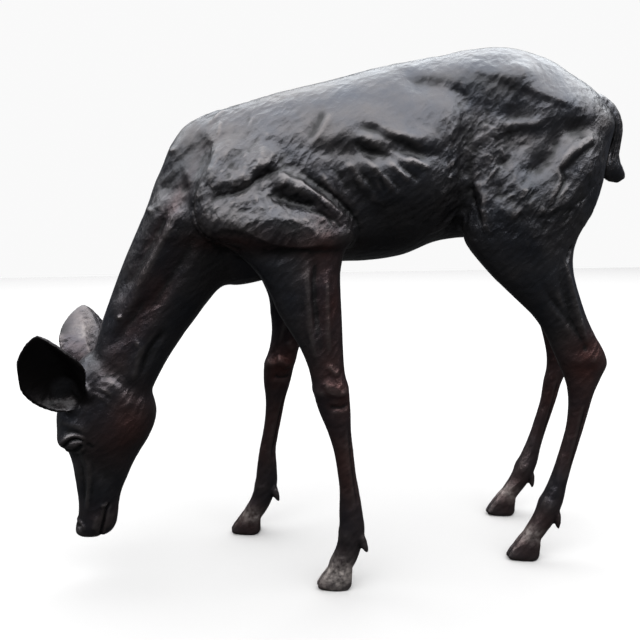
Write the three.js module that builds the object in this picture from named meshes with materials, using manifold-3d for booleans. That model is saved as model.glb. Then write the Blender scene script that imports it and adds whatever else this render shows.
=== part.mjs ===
// A grazing doe, cast in bronze as one piece: millimetres, +Z up, the doe faces -X and its left side is at -Y.
// Every form is a loft through a few hand-set stations. The forms are joined, their seams are softened, and the
// muscles are raised on the joined skin.
import * as THREE from "three";
import { LoftGeometry } from "three/addons/geometries/LoftGeometry.js";
import { mergeVertices } from "three/addons/utils/BufferGeometryUtils.js";
import Module from "manifold-3d";

const wasm = await Module();
wasm.setup();

// Driving dimensions
const FORE_STANCE = 111; // from the middle plane to the middle of a fore hoof
const HIND_STANCE = 88; // the same for a hind hoof
const SWAY = 5; // the doe leans on its left foreleg: the fore hooves stand this far over, the hind ones back
const TOE_GAP = 10; // from the middle of a hoof to the middle of one of its two claws
const TOE_IN = 2; // how far the point of a claw turns to its neighbour
const TOE_POINT = 0.3; // how much of a claw's width is lost at its point
const DEWCLAW_LENGTH = 34; // the first DEWCLAW_ROOT of it is inside the leg
const DEWCLAW_ROOT = 8;
const DEWCLAW_RADIUS = 7.5;
const DEWCLAW_GAP = 9; // from the middle of the leg to the middle of a dewclaw
const DEWCLAW_FALL = THREE.MathUtils.degToRad(52); // below level
const EAR_WIDTH = 104;
const EAR_CUP = 28; // how deep the ear is hollowed
const EAR_WALL = 7;
const EAR_BOWS = [-1, -0.72, -0.38, 0, 0.38, 0.72, 1]; // points across the ear, as shares of its half width
const EAR_BASE = { x: -385, y: 50, z: 335 }; // beyond this corner a point is on an ear
const FETLOCK_TOP = 105; // the feet below this height stay crisp
const SEAM_BENDS = [0.15, 0.6]; // radians: a seam is rounded from the first bend, and fully from the second
const SEAM_SPREAD = 2; // how many points beyond a seam are rounded with it
const SEAM_FADE = 0.75; // and how much less with each
const SOFT_ROUNDS = 8;
const FLANK_TURNS = [0.1, 0.6]; // the share of a skin's normal across the figure where the muscles fade in

// Outlines. A row gives the crown point [x, z], the keel point [x, z], the half width across the middle plane,
// and where between crown and keel that width lies.
const TRUNK = [
  [516, 775, 512, 735, 14, 0.5],
  [514, 812, 496, 668, 46, 0.5],
  [500, 842, 472, 620, 72, 0.45],
  [472, 862, 438, 592, 92, 0.42],
  [437, 880, 400, 582, 99, 0.42],
  [385, 906, 350, 586, 100, 0.42],
  [320, 919, 298, 590, 100, 0.44],
  [260, 914, 255, 592, 100, 0.47],
  [200, 901, 200, 584, 104, 0.52],
  [140, 889, 140, 562, 110, 0.55],
  [80, 875, 80, 553, 114, 0.56],
  [20, 858, 20, 551, 112, 0.56],
  [-40, 843, -40, 541, 104, 0.54],
  [-100, 826, -95, 524, 94, 0.52],
  [-150, 810, -140, 514, 84, 0.52],
  [-195, 795, -175, 517, 70, 0.52],
  [-231, 775, -205, 540, 50, 0.52],
  [-256, 742, -228, 590, 26, 0.5],
];
const NECK = [
  [-150, 790, -60, 580, 56, 0.5],
  [-210, 780, -105, 540, 70, 0.5],
  [-249, 751, -145, 519, 72, 0.52],
  [-272, 705, -178, 510, 66, 0.54],
  [-294, 652, -203, 483, 59, 0.54],
  [-317, 600, -230, 448, 53, 0.54],
  [-340, 550, -252, 418, 49, 0.54],
  [-360, 500, -272, 388, 46, 0.54],
  [-379, 452, -288, 360, 45, 0.54],
  [-392, 412, -300, 335, 43, 0.54],
  [-400, 385, -305, 310, 36, 0.5],
];
const HEAD = [
  [-386, 412, -325, 388, 26, 0.5],
  [-413, 394, -310, 356, 41, 0.5],
  [-436, 364, -300, 326, 50, 0.45],
  [-451, 332, -295, 298, 55, 0.42],
  [-459, 300, -299, 275, 56, 0.38],
  [-459, 270, -310, 250, 53, 0.38],
  [-448, 243, -326, 225, 45, 0.42],
  [-440, 214, -340, 200, 38, 0.48],
  [-437, 186, -350, 178, 33, 0.5],
  [-435, 159, -360, 155, 29, 0.5],
  [-434, 134, -366, 132, 27, 0.5],
  [-436, 112, -369, 111, 27, 0.5],
  [-441, 92, -373, 93, 26, 0.5],
  [-439, 80, -382, 80, 21, 0.5],
  [-424, 75, -398, 75, 10, 0.5],
];
const TAIL = [
  [490, 852, 485, 812, 15, 0.5],
  [519, 846, 503, 800, 18, 0.5],
  [547, 826, 522, 785, 19, 0.5],
  [560, 794, 534, 765, 18, 0.5],
  [559, 758, 537, 748, 15, 0.5],
  [558, 734, 537, 727, 12, 0.5],
  [564, 717, 540, 708, 11, 0.5],
  [568, 703, 550, 693, 7, 0.5],
  [565, 694, 558, 690, 3, 0.5],
];

// Legs, cut by level planes. A row gives the height, the front and the back of the leg, where it stands between
// its root beside the spine (0) and its hoof (1), and the half width.
const FORE_LEG = [
  [775, -135, -85, -0.3, 16],
  [738, -178, -50, 0, 34],
  [690, -208, -20, 0.2, 45],
  [645, -216, 12, 0.32, 49],
  [605, -198, 28, 0.42, 47],
  [575, -158, 20, 0.5, 42],
  [545, -126, 13, 0.58, 37],
  [514, -106, 12, 0.66, 33],
  [480, -92, 13, 0.72, 29],
  [447, -72, 14, 0.78, 25],
  [413, -53, 15, 0.83, 22],
  [379, -41, 17, 0.87, 21],
  [345, -35, 24, 0.9, 22],
  [310, -25, 27, 0.92, 19],
  [276, -11, 28, 0.94, 15.5],
  [241, -1, 32, 0.95, 14],
  [206, 5, 36, 0.96, 14],
  [170, 9, 42, 0.97, 14],
  [134, 8, 48, 0.98, 16],
  [98, 8, 52, 1, 18],
  [70, 2, 46, 1, 18],
  [46, -9, 37, 1, 17],
  [24, -14, 24, 1, 13],
];
const HIND_LEG = [
  [845, 335, 425, -0.3, 16],
  [805, 300, 478, 0, 40],
  [755, 268, 492, 0.15, 52],
  [695, 242, 486, 0.35, 55],
  [640, 228, 468, 0.5, 52],
  [595, 232, 440, 0.65, 45],
  [560, 254, 430, 0.8, 38],
  [525, 286, 434, 0.9, 33],
  [490, 325, 446, 0.95, 28],
  [455, 362, 460, 1, 24],
  [420, 388, 480, 1, 21],
  [390, 404, 500, 1, 20],
  [366, 416, 508, 1, 19],
  [342, 428, 498, 1, 18],
  [315, 437, 486, 1, 17],
  [285, 440, 478, 1, 15],
  [250, 438, 470, 1, 14],
  [215, 431, 461, 1, 14],
  [180, 422, 452, 1, 14],
  [145, 411, 444, 1, 16],
  [108, 396, 438, 1, 18],
  [76, 382, 426, 1, 18],
  [50, 366, 408, 1, 17],
  [26, 356, 392, 1, 13],
];
// One claw, cut by level planes from its coronet down: height, front, back, half width. Its sole is flat.
const CLAW = [
  [52, 4, 24, 4],
  [43, -4, 33, 8],
  [36, -9, 33, 9.5],
  [16, -22, 30, 10.5],
  [4, -29, 28, 11],
  [0, -28, 26, 10.5],
];
// How far each leg is set back (+) from the first of its pair at each height: [z, x], straight between them
const SQUARE = [[800, 0], [0, 0]];
const FORE_STEP = [[480, 4], [345, -62], [170, -118], [0, -137]];
const HIND_STEP = [[800, 10], [600, 70], [450, 82], [375, 72], [285, 47], [0, 38]];
const FORE = { rows: FORE_LEG, root: 52, sole: -2, heel: [44, 84] };
const HIND = { rows: HIND_LEG, root: 50, sole: 371, heel: [424, 90] };
const LEGS = [
  { ...FORE, side: -1, stance: FORE_STANCE + SWAY, step: SQUARE },
  { ...FORE, side: 1, stance: FORE_STANCE - SWAY, step: FORE_STEP },
  { ...HIND, side: -1, stance: HIND_STANCE - SWAY, step: SQUARE },
  { ...HIND, side: 1, stance: HIND_STANCE + SWAY, step: HIND_STEP },
];
// Ears, from root through the middle of the leaf to the tip, with the way that each hollow faces
const EARS = [
  { root: [-394, -40, 322], leaf: [-449, -84, 364], tip: [-456, -92, 445], open: [0.15, -0.95, 0.1] },
  { root: [-398, 40, 332], leaf: [-424, 80, 390], tip: [-424, 103, 471], open: [-0.65, 0.75, -0.1] },
];
// Half width of the ear and depth of its hollow, as shares of the whole, at even steps from root to tip
const EAR_LEAF = [
  [0.36, 0.8],
  [0.66, 1],
  [0.88, 1],
  [0.98, 0.95],
  [1, 0.85],
  [0.86, 0.65],
  [0.6, 0.4],
  [0.15, 0.12],
];

// Muscles and bones that show on both flanks: the middle [x, z], the reach along and across, the way it runs in
// degrees up from +X, and the height (below 0 it is a hollow). A form on a leg follows that leg's step.
const RELIEF = [
  { at: [-183, 712], reach: [75, 20], turn: 74, height: 7 }, // front edge of the shoulder blade
  { at: [-118, 722], reach: [70, 22], turn: 64, height: 6 }, // spine of the shoulder blade
  { at: [-196, 618], reach: [34, 30], turn: 0, height: 8 }, // point of the shoulder
  { at: [-92, 620], reach: [100, 23], turn: -3, height: 8 }, // upper arm
  { at: [-98, 672], reach: [45, 20], turn: -32, height: -6 },
  { at: [-28, 650], reach: [72, 20], turn: -35, height: 10 }, // triceps
  { at: [14, 602], reach: [20, 18], turn: 0, height: 9 }, // elbow
  { at: [48, 662], reach: [62, 26], turn: -58, height: -7 },
  { at: [78, 753], reach: [90, 14], turn: 0, height: 5 }, // ends of the ribs
  { at: [84, 728], reach: [88, 13], turn: 0, height: -5 },
  { at: [222, 700], reach: [85, 22], turn: 82, height: -13 }, // hollow of the flank
  { at: [259, 690], reach: [88, 18], turn: 84, height: 8 }, // front edge of the thigh
  { at: [250, 832], reach: [36, 28], turn: 0, height: -9 },
  { at: [316, 864], reach: [28, 18], turn: 10, height: 8 }, // point of the hip
  { at: [396, 800], reach: [62, 34], turn: 0, height: 6 }, // haunch
  { at: [345, 730], reach: [60, 26], turn: 60, height: -5 },
  { at: [424, 706], reach: [64, 20], turn: 54, height: 8 }, // hamstring
  { at: [490, 786], reach: [24, 20], turn: 0, height: 7 }, // point of the rump
  { at: [398, 470], reach: [52, 7], turn: -48, height: -4, step: HIND_STEP }, // groove before the hock tendon
  { at: [-282, 560], reach: [110, 13], turn: 60, height: 6 }, // long muscle of the neck
  { at: [-262, 528], reach: [100, 12], turn: 57, height: -6 },
  { at: [-441, 263], reach: [18, 15], turn: 80, height: 11 }, // brow
  { at: [-430, 232], reach: [20, 12], turn: 80, height: -6 }, // hollow before the eye
  { at: [-338, 276], reach: [34, 26], turn: 60, height: 5 }, // cheek
  { at: [-376, 196], reach: [40, 12], turn: 100, height: -4 },
];

const { clamp, lerp, smoothstep } = THREE.MathUtils;
const vec = (p) => new THREE.Vector3(...p);
const repeat = (count, make) => Array.from({ length: count }, (_, i) => make(i));
// One value at each end of count even steps, made from the share of the way
const steps = (count, make) => repeat(count + 1, (i) => make(i / count));

// A smooth run through the points that pick takes from the rows, as a function of the share of the way
function through(rows, pick) {
  const points = rows.map((row) => vec(pick(row)));
  const curve = new THREE.CatmullRomCurve3(points, false, "catmullrom", 0.5);
  return (t) => curve.getPoint(t);
}

// The offset of a step list at height z
function offsetAt(list, z) {
  const low = list.findIndex(([height]) => height <= z);
  if (low === 0) return list[0][1];
  const [z0, x0] = list[low - 1];
  const [z1, x1] = list[low];
  return lerp(x0, x1, (z0 - z) / (z0 - z1));
}

// An oval ring of points between crown and keel, w to each side, widest at the share m, and drawn to a point at
// the crown by the share p
function ring(crown, keel, w, m, sides, p = 0) {
  const middle = crown.clone().lerp(keel, m);
  return repeat(sides, (i) => {
    const angle = (2 * Math.PI * i) / sides;
    const up = Math.cos(angle);
    const point = middle.clone().lerp(up > 0 ? crown : keel, Math.abs(up));
    point.y += w * Math.sin(angle) * (1 - p * up);
    return point;
  });
}

// Skins the rings into a closed solid. Each ring has to run anticlockwise as seen from the far end.
function loft(rings) {
  const third = Math.floor(rings[1].length / 3);
  const [a, b, c] = [0, third, 2 * third].map((i) => rings[1][i]);
  const facing = b.clone().sub(a).cross(c.clone().sub(b));
  const ahead = rings.at(-1)[0].clone().sub(rings[0][0]);
  if (facing.dot(ahead) < 0) rings.forEach((each) => each.reverse());
  const skin = new LoftGeometry(rings, { closed: true, capStart: true, capEnd: true });
  const shell = new THREE.BufferGeometry();
  shell.setAttribute("position", skin.getAttribute("position"));
  shell.setIndex(skin.index);
  const merged = mergeVertices(shell, 1e-4);
  const vertProperties = merged.attributes.position.array;
  const triVerts = new Uint32Array(merged.index.array);
  return new wasm.Manifold(new wasm.Mesh({ numProp: 3, vertProperties, triVerts }));
}

// Trunk, neck, head and tail lie on the middle plane
function midForm(rows, count, sides) {
  const crown = through(rows, (r) => [r[0], 0, r[1]]);
  const keel = through(rows, (r) => [r[2], 0, r[3]]);
  const girth = through(rows, (r) => [r[4], r[5], 0]);
  return loft(steps(count, (t) => ring(crown(t), keel(t), girth(t).x, girth(t).y, sides)));
}

function leg({ rows, side, root, stance, step }, count, sides) {
  const out = (r) => side * lerp(root, stance, r[3]);
  const front = through(rows, (r) => [r[1] + offsetAt(step, r[0]), out(r), r[0]]);
  const back = through(rows, (r) => [r[2] + offsetAt(step, r[0]), out(r), r[0]]);
  const girth = through(rows, (r) => [r[4], 0, 0]);
  return loft(steps(count, (t) => ring(front(t), back(t), girth(t).x, 0.5, sides)));
}

// The two claws of a hoof, pointed in front and flat below
function claws({ side, stance, step, sole }) {
  return [-1, 1].map((way) => {
    const y = side * stance + way * TOE_GAP;
    const x = sole + offsetAt(step, 0);
    const rings = CLAW.map(([z, front, back, w]) => {
      return ring(vec([x + front, y - way * TOE_IN, z]), vec([x + back, y, z]), w, 0.6, 10, TOE_POINT);
    });
    return loft(rings);
  });
}

// The two small claws behind the fetlock point down and back
function dewclaws({ side, stance, step, heel }) {
  const [x, z] = heel;
  const shift = offsetAt(step, z);
  return [-1, 1].map((way) => {
    const top = vec([x + shift - DEWCLAW_ROOT, side * stance + way * DEWCLAW_GAP, z]);
    const [run, drop] = [Math.cos(DEWCLAW_FALL), Math.sin(DEWCLAW_FALL)];
    const tip = top.clone().addScaledVector(vec([run, 0.12 * way, -drop]), DEWCLAW_LENGTH);
    const rings = [0.8, 1, 0.72, 0.15].map((share, i, all) => {
      const centre = top.clone().lerp(tip, i / (all.length - 1));
      const across = vec([drop, 0, run]).multiplyScalar(DEWCLAW_RADIUS * share);
      return ring(centre.clone().add(across), centre.clone().sub(across), DEWCLAW_RADIUS * share, 0.5, 6);
    });
    return loft(rings);
  });
}

// A leaf-shaped cup: each ring is a bow round the back of the ear and a smaller bow inside it
function ear({ root, leaf, tip, open }) {
  const spine = new THREE.QuadraticBezierCurve3(vec(root), vec(leaf), vec(tip));
  const shape = through(EAR_LEAF, (r) => [r[0], r[1], 0]);
  const rings = steps(9, (t) => {
    const along = spine.getTangent(t);
    const facing = vec(open).projectOnPlane(along).normalize();
    const across = along.clone().cross(facing);
    const { x: wide, y: deep } = shape(t);
    const half = (wide * EAR_WIDTH) / 2;
    const wall = Math.min(EAR_WALL, half * 0.6);
    const bow = (inset, u) => {
      const depth = Math.max(deep * EAR_CUP - inset, 0) * (1 - u * u);
      return spine.getPoint(t).addScaledVector(across, (half - inset) * u).addScaledVector(facing, -depth);
    };
    return [...EAR_BOWS.map((u) => bow(0, u)), ...EAR_BOWS.toReversed().map((u) => bow(wall, u))];
  });
  return loft(rings);
}

// The joined skin as lists that can be moved: points, faces and each point's neighbours
function openSkin(solid) {
  const { vertProperties, triVerts } = solid.getMesh();
  const points = repeat(vertProperties.length / 3, (i) => new THREE.Vector3().fromArray(vertProperties, 3 * i));
  const faces = repeat(triVerts.length / 3, (i) => [...triVerts.subarray(3 * i, 3 * i + 3)]);
  const near = points.map(() => new Set());
  faces.forEach((face) => face.forEach((v, i) => near[v].add(face[(i + 1) % 3]).add(face[(i + 2) % 3])));
  return { points, faces, near };
}

function faceNormal(points, [a, b, c]) {
  return points[b].clone().sub(points[a]).cross(points[c].clone().sub(points[a]));
}

function pointNormals({ points, faces }) {
  const normals = points.map(() => new THREE.Vector3());
  for (const face of faces) {
    const normal = faceNormal(points, face);
    face.forEach((v) => normals[v].add(normal));
  }
  return normals.map((normal) => normal.normalize());
}

// How much each point belongs to a hollow seam between two forms, 0 to 1, fading over its neighbours
function seams({ points, faces, near }) {
  const weight = points.map(() => 0);
  const open = new Map();
  for (const face of faces) {
    face.forEach((v, i) => {
      const [from, to, far] = [v, face[(i + 1) % 3], face[(i + 2) % 3]];
      open.set(from + "," + to, { normal: faceNormal(points, face).normalize(), far });
    });
  }
  for (const [edge, here] of open) {
    const [from, to] = edge.split(",").map(Number);
    const there = open.get(to + "," + from);
    const hollow = points[there.far].clone().sub(points[from]).dot(here.normal) > 0;
    const bend = hollow ? smoothstep(here.normal.angleTo(there.normal), ...SEAM_BENDS) : 0;
    weight[from] = Math.max(weight[from], bend);
    weight[to] = Math.max(weight[to], bend);
  }
  for (let round = 0; round < SEAM_SPREAD; round++) {
    const last = [...weight];
    near.forEach((around, i) => {
      const most = Math.max(...[...around].map((j) => last[j]));
      weight[i] = Math.max(weight[i], SEAM_FADE * most);
    });
  }
  return weight;
}

// Rounds off the seams of the body, and leaves the hooves and the ears as they are
function soften(skin) {
  const weight = seams(skin);
  const kept = (p) => p.z < FETLOCK_TOP || (p.x < EAR_BASE.x && Math.abs(p.y) > EAR_BASE.y && p.z > EAR_BASE.z);
  skin.points.forEach((p, i) => (weight[i] = kept(p) ? 0 : weight[i]));
  for (let round = 0; round < SOFT_ROUNDS; round++) {
    const last = skin.points.map((p) => p.clone());
    skin.near.forEach((around, i) => {
      const mean = new THREE.Vector3();
      around.forEach((j) => mean.add(last[j]));
      skin.points[i].lerp(mean.divideScalar(around.size), 0.5 * weight[i]);
    });
  }
}

// Raises (or sinks) each muscle of the relief along the skin's own normals, on both flanks
function sculpt(skin) {
  const normals = pointNormals(skin);
  skin.points.forEach((p, i) => {
    const flank = smoothstep(Math.abs(normals[i].y), ...FLANK_TURNS);
    let rise = 0;
    for (const { at, reach, turn, height, step } of RELIEF) {
      const far = step && p.y > 0 ? offsetAt(step, clamp(p.z, 0, at[1] + reach[0])) : 0;
      const [dx, dz] = [p.x - far - at[0], p.z - at[1]];
      const angle = THREE.MathUtils.degToRad(turn);
      const u = (dx * Math.cos(angle) + dz * Math.sin(angle)) / reach[0];
      const v = (dz * Math.cos(angle) - dx * Math.sin(angle)) / reach[1];
      rise += height * Math.exp(-u * u - v * v);
    }
    p.addScaledVector(normals[i], rise * flank);
  });
}

function closedMesh({ points, faces }) {
  const geometry = new THREE.BufferGeometry().setFromPoints(points);
  geometry.setIndex(faces.flat());
  return geometry;
}

const forms = [midForm(TRUNK, 34, 30), midForm(NECK, 14, 24), midForm(HEAD, 24, 24), midForm(TAIL, 12, 8)];
for (const each of LEGS) forms.push(leg(each, 31, 12), ...claws(each), ...dewclaws(each));
for (const each of EARS) forms.push(ear(each));
const skin = openSkin(forms.reduce((whole, form) => whole.add(form)));
soften(skin);
sculpt(skin);
const geometry = closedMesh(skin);

// The origin lies on the ground under the middle of the figure
geometry.computeBoundingBox();
const { min, max } = geometry.boundingBox;
geometry.translate(-(min.x + max.x) / 2, -(min.y + max.y) / 2, -min.z);

const bronze = new THREE.MeshStandardMaterial({ color: 0x2a2422, roughness: 0.38, metalness: 0.85 });
const deer = new THREE.Mesh(geometry, bronze);
deer.name = "deer_figure";

const figure = new THREE.Group();
figure.add(deer);
export default figure;
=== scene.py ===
"""A grazing doe in dark bronze, cast as one, on a plain pale floor.

The tables are in the sculptor's frame, in millimetres: the doe faces -X, its left side is at -Y, +Z is
up and the ground is at 0. The finished piece is in metres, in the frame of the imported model.
"""

from __future__ import annotations

import logging
import math
from dataclasses import dataclass
from enum import Enum

import bpy
import numpy as np
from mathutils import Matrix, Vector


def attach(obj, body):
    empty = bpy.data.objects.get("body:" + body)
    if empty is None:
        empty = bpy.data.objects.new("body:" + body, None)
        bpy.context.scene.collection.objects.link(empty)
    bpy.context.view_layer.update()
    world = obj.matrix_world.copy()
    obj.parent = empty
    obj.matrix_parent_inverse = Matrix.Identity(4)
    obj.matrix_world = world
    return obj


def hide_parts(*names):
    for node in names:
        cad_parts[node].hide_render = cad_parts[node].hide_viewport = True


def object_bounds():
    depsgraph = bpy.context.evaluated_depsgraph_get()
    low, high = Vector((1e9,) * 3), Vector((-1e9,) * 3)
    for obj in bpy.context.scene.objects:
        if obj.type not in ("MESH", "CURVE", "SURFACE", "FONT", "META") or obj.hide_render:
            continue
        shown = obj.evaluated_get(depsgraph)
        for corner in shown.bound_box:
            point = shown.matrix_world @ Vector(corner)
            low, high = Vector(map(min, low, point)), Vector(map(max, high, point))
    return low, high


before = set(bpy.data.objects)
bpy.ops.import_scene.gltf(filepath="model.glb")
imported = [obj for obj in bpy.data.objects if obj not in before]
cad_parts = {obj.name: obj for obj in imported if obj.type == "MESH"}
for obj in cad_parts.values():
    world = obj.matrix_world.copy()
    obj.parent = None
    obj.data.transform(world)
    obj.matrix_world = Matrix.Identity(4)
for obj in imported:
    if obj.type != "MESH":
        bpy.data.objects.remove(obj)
CAD_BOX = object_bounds()

log = logging.getLogger("doe")
Array = np.ndarray
Socket = bpy.types.NodeSocket
Pair = tuple[float, float]
Triple = tuple[float, float, float]
Rows = tuple[tuple[float, ...], ...]
NODE = "deer_figure"
MM = 0.001


# --------------------------------------------------------------------------------------------------
# Outlines. A row gives the crown point (x, z), the keel point (x, z), the half width across the middle
# plane, and where between crown and keel that width lies.

TRUNK = (
    (516, 775, 512, 735, 14, 0.5),
    (514, 812, 496, 668, 46, 0.5),
    (500, 842, 472, 620, 72, 0.45),
    (472, 862, 438, 592, 92, 0.42),
    (437, 880, 400, 582, 99, 0.42),
    (385, 906, 350, 586, 100, 0.42),
    (320, 919, 298, 590, 100, 0.44),
    (260, 914, 255, 592, 100, 0.47),
    (200, 901, 200, 584, 104, 0.52),
    (140, 889, 140, 562, 110, 0.55),
    (80, 875, 80, 553, 114, 0.56),
    (20, 858, 20, 551, 112, 0.56),
    (-40, 843, -40, 541, 104, 0.54),
    (-100, 826, -95, 524, 94, 0.52),
    (-150, 810, -140, 514, 84, 0.52),
    (-195, 795, -175, 517, 70, 0.52),
    (-231, 775, -205, 540, 50, 0.52),
    (-256, 742, -228, 590, 26, 0.5),
)
NECK = (
    (-150, 790, -60, 580, 56, 0.5),
    (-210, 780, -105, 540, 70, 0.5),
    (-249, 751, -145, 519, 72, 0.52),
    (-272, 705, -178, 510, 66, 0.54),
    (-294, 652, -203, 483, 59, 0.54),
    (-317, 600, -230, 448, 53, 0.54),
    (-340, 550, -252, 418, 49, 0.54),
    (-360, 500, -272, 388, 46, 0.54),
    (-379, 452, -288, 360, 45, 0.54),
    (-392, 412, -300, 335, 43, 0.54),
    (-400, 385, -305, 310, 36, 0.5),
)
HEAD = (
    (-386, 412, -325, 388, 26, 0.5),
    (-413, 394, -310, 356, 41, 0.5),
    (-436, 364, -300, 326, 50, 0.45),
    (-451, 332, -295, 298, 55, 0.42),
    (-459, 300, -299, 275, 56, 0.38),
    (-459, 270, -310, 250, 53, 0.38),
    (-448, 243, -326, 225, 45, 0.42),
    (-440, 214, -340, 200, 38, 0.48),
    (-437, 186, -350, 178, 33, 0.5),
    (-435, 159, -360, 155, 29, 0.5),
    (-434, 134, -366, 132, 27, 0.5),
    (-436, 112, -369, 111, 27, 0.5),
    (-441, 92, -373, 93, 26, 0.5),
    (-439, 80, -382, 80, 21, 0.5),
    (-424, 75, -398, 75, 10, 0.5),
)
TAIL = (
    (490, 852, 485, 812, 15, 0.5),
    (519, 846, 503, 800, 18, 0.5),
    (547, 826, 520, 785, 19, 0.5),
    (560, 794, 530, 765, 18, 0.5),
    (559, 758, 531, 748, 16, 0.5),
    (559, 736, 526, 729, 15, 0.5),
    (565, 721, 526, 708, 14, 0.5),
    (573, 708, 537, 695, 10, 0.5),
    (574, 700, 559, 690, 4, 0.5),
)

# Legs, cut by level planes. A row gives the height, the front and the back of the leg, where it stands
# between its root beside the spine (0) and its hoof (1), and the half width.
FORE_LEG = (
    (775, -135, -85, -0.3, 16),
    (738, -178, -50, 0, 34),
    (690, -208, -20, 0.2, 45),
    (645, -216, 12, 0.32, 49),
    (605, -198, 28, 0.42, 47),
    (575, -158, 20, 0.5, 42),
    (545, -126, 13, 0.58, 37),
    (514, -106, 12, 0.66, 33),
    (480, -92, 13, 0.72, 29),
    (447, -72, 14, 0.78, 25),
    (413, -53, 15, 0.83, 22),
    (379, -41, 17, 0.87, 21),
    (345, -35, 24, 0.9, 22),
    (310, -25, 27, 0.92, 19),
    (276, -11, 28, 0.94, 15.5),
    (241, -1, 32, 0.95, 14),
    (206, 5, 36, 0.96, 14),
    (170, 9, 42, 0.97, 14),
    (134, 8, 48, 0.98, 16),
    (98, 8, 52, 1, 18),
    (70, 2, 46, 1, 18),
    (46, -9, 37, 1, 17),
    (24, -14, 24, 1, 13),
)
HIND_LEG = (
    (845, 335, 425, -0.3, 16),
    (805, 300, 478, 0, 40),
    (755, 268, 492, 0.15, 52),
    (695, 242, 486, 0.35, 55),
    (640, 228, 468, 0.5, 52),
    (595, 232, 440, 0.65, 45),
    (560, 254, 430, 0.8, 38),
    (525, 286, 434, 0.9, 33),
    (490, 325, 446, 0.95, 28),
    (455, 362, 460, 1, 24),
    (420, 388, 480, 1, 21),
    (390, 404, 500, 1, 20),
    (366, 416, 508, 1, 19),
    (342, 428, 498, 1, 18),
    (315, 437, 486, 1, 17),
    (285, 440, 478, 1, 15),
    (250, 438, 470, 1, 14),
    (215, 431, 461, 1, 14),
    (180, 422, 452, 1, 14),
    (145, 411, 444, 1, 16),
    (108, 396, 438, 1, 18),
    (76, 382, 426, 1, 18),
    (50, 366, 408, 1, 17),
    (26, 356, 392, 1, 13),
)
# One claw, cut by level planes from its coronet down: height, front, back, half width. Its sole is flat.
CLAW = (
    (52, 4, 22, 4),
    (43, -4, 30, 8),
    (34, -11, 31, 10),
    (18, -23, 30, 11),
    (8, -29, 30, 11.5),
    (3, -28, 28, 11),
    (0, -22, 23, 9.5),
)
# How far a leg is set back (+) from the first of its pair at each height: (z, x), straight between rows
SQUARE = ((800, 0), (0, 0))
FORE_STEP = ((480, 4), (345, -62), (170, -118), (0, -137))
HIND_STEP = ((800, 10), (600, 70), (450, 82), (375, 72), (285, 47), (0, 38))


class Flank(Enum):
    """The side of the doe that a form is modelled on."""

    LEFT = -1
    RIGHT = 1
    BOTH = 0


# --------------------------------------------------------------------------------------------------
# Curves and grids


def smoothstep(value: Array, low: float, high: float) -> Array:
    """Rises from 0 at low to 1 at high, level at both ends.

    Args:
        value: the numbers to map.
        low: where the rise starts.
        high: where it ends.

    Returns:
        t * t * (3 - 2t) of each number's share t of the way from low to high.
    """
    t = np.clip((value - low) / (high - low), 0.0, 1.0)
    return t * t * (3.0 - 2.0 * t)


def through(points: Array, t: Array) -> Array:
    """A smooth run through the points at the shares t of the way.

    Each span is the cubic that meets its two points with half the step between their neighbours as its
    slope; past either end the run is mirrored about the end point.

    Args:
        points: the points to pass, one row each.
        t: shares of the way, 0 to 1.

    Returns:
        One row for each share.
    """
    points = np.asarray(points, float)
    first = 2 * points[0] - points[1]
    last = 2 * points[-1] - points[-2]
    row = np.vstack([first, points, last])
    place = np.clip(t, 0, 1) * (len(points) - 1)
    span = np.minimum(place.astype(int), len(points) - 2)
    share = (place - span)[:, None]
    before, here, there, after = (row[span + i] for i in range(4))
    lean, next_lean = (there - before) / 2, (after - here) / 2
    cubic = 2 * here - 2 * there + lean + next_lean
    square = -3 * here + 3 * there - 2 * lean - next_lean
    return ((cubic * share + square) * share + lean) * share + here


def offset_at(steps: Rows, z: Array) -> Array:
    """The offset of a step list at the heights z, straight between its rows and level beyond them."""
    heights, offsets = np.array(steps, float)[::-1].T
    return np.interp(z, heights, offsets)


def unit(vectors: Array) -> Array:
    """Each row at length 1."""
    return vectors / np.maximum(np.linalg.norm(vectors, axis=-1, keepdims=True), 1e-12)


@dataclass(frozen=True)
class Shell:
    """A closed surface as points and faces of three or four corners."""

    points: Array
    quads: Array
    tris: Array

    @staticmethod
    def from_rings(rings: Array) -> Shell:
        """Skins rings of points and closes both ends.

        Quad (i, j) joins points j and j + 1 of ring i to those of ring i + 1; an end is a fan about its
        ring's mean.

        Args:
            rings: points as an array of rings by sides by three.

        Returns:
            The closed shell, its faces pointing outwards.
        """
        count, sides, _ = rings.shape
        i, j = np.meshgrid(np.arange(count - 1), np.arange(sides), indexing="ij")
        k = (j + 1) % sides
        corners = [i * sides + j, i * sides + k, (i + 1) * sides + k, (i + 1) * sides + j]
        quads = np.stack(corners, axis=-1).reshape(-1, 4)
        around = np.arange(sides)
        ahead = np.roll(around, -1)
        first, last = count * sides, count * sides + 1
        start = np.stack([np.full(sides, first), ahead, around], axis=1)
        end = (count - 1) * sides
        stop = np.stack([np.full(sides, last), end + around, end + ahead], axis=1)
        points = np.vstack([rings.reshape(-1, 3), rings[0].mean(0), rings[-1].mean(0)])
        shell = Shell(points, quads, np.vstack([start, stop]))
        if shell.volume() < 0:
            return Shell(points, quads[:, ::-1], shell.tris[:, ::-1])
        return shell

    def volume(self) -> float:
        """Signed volume: a sixth of the sum over the faces of their corners' triple product.

        Returns:
            The volume, below 0 where the faces point inwards.
        """
        tris = np.vstack([self.quads[:, :3], self.quads[:, [0, 2, 3]], self.tris])
        a, b, c = (self.points[tris[:, i]] for i in range(3))
        return float(np.einsum("ij,ij->", a, np.cross(b, c)) / 6)


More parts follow.
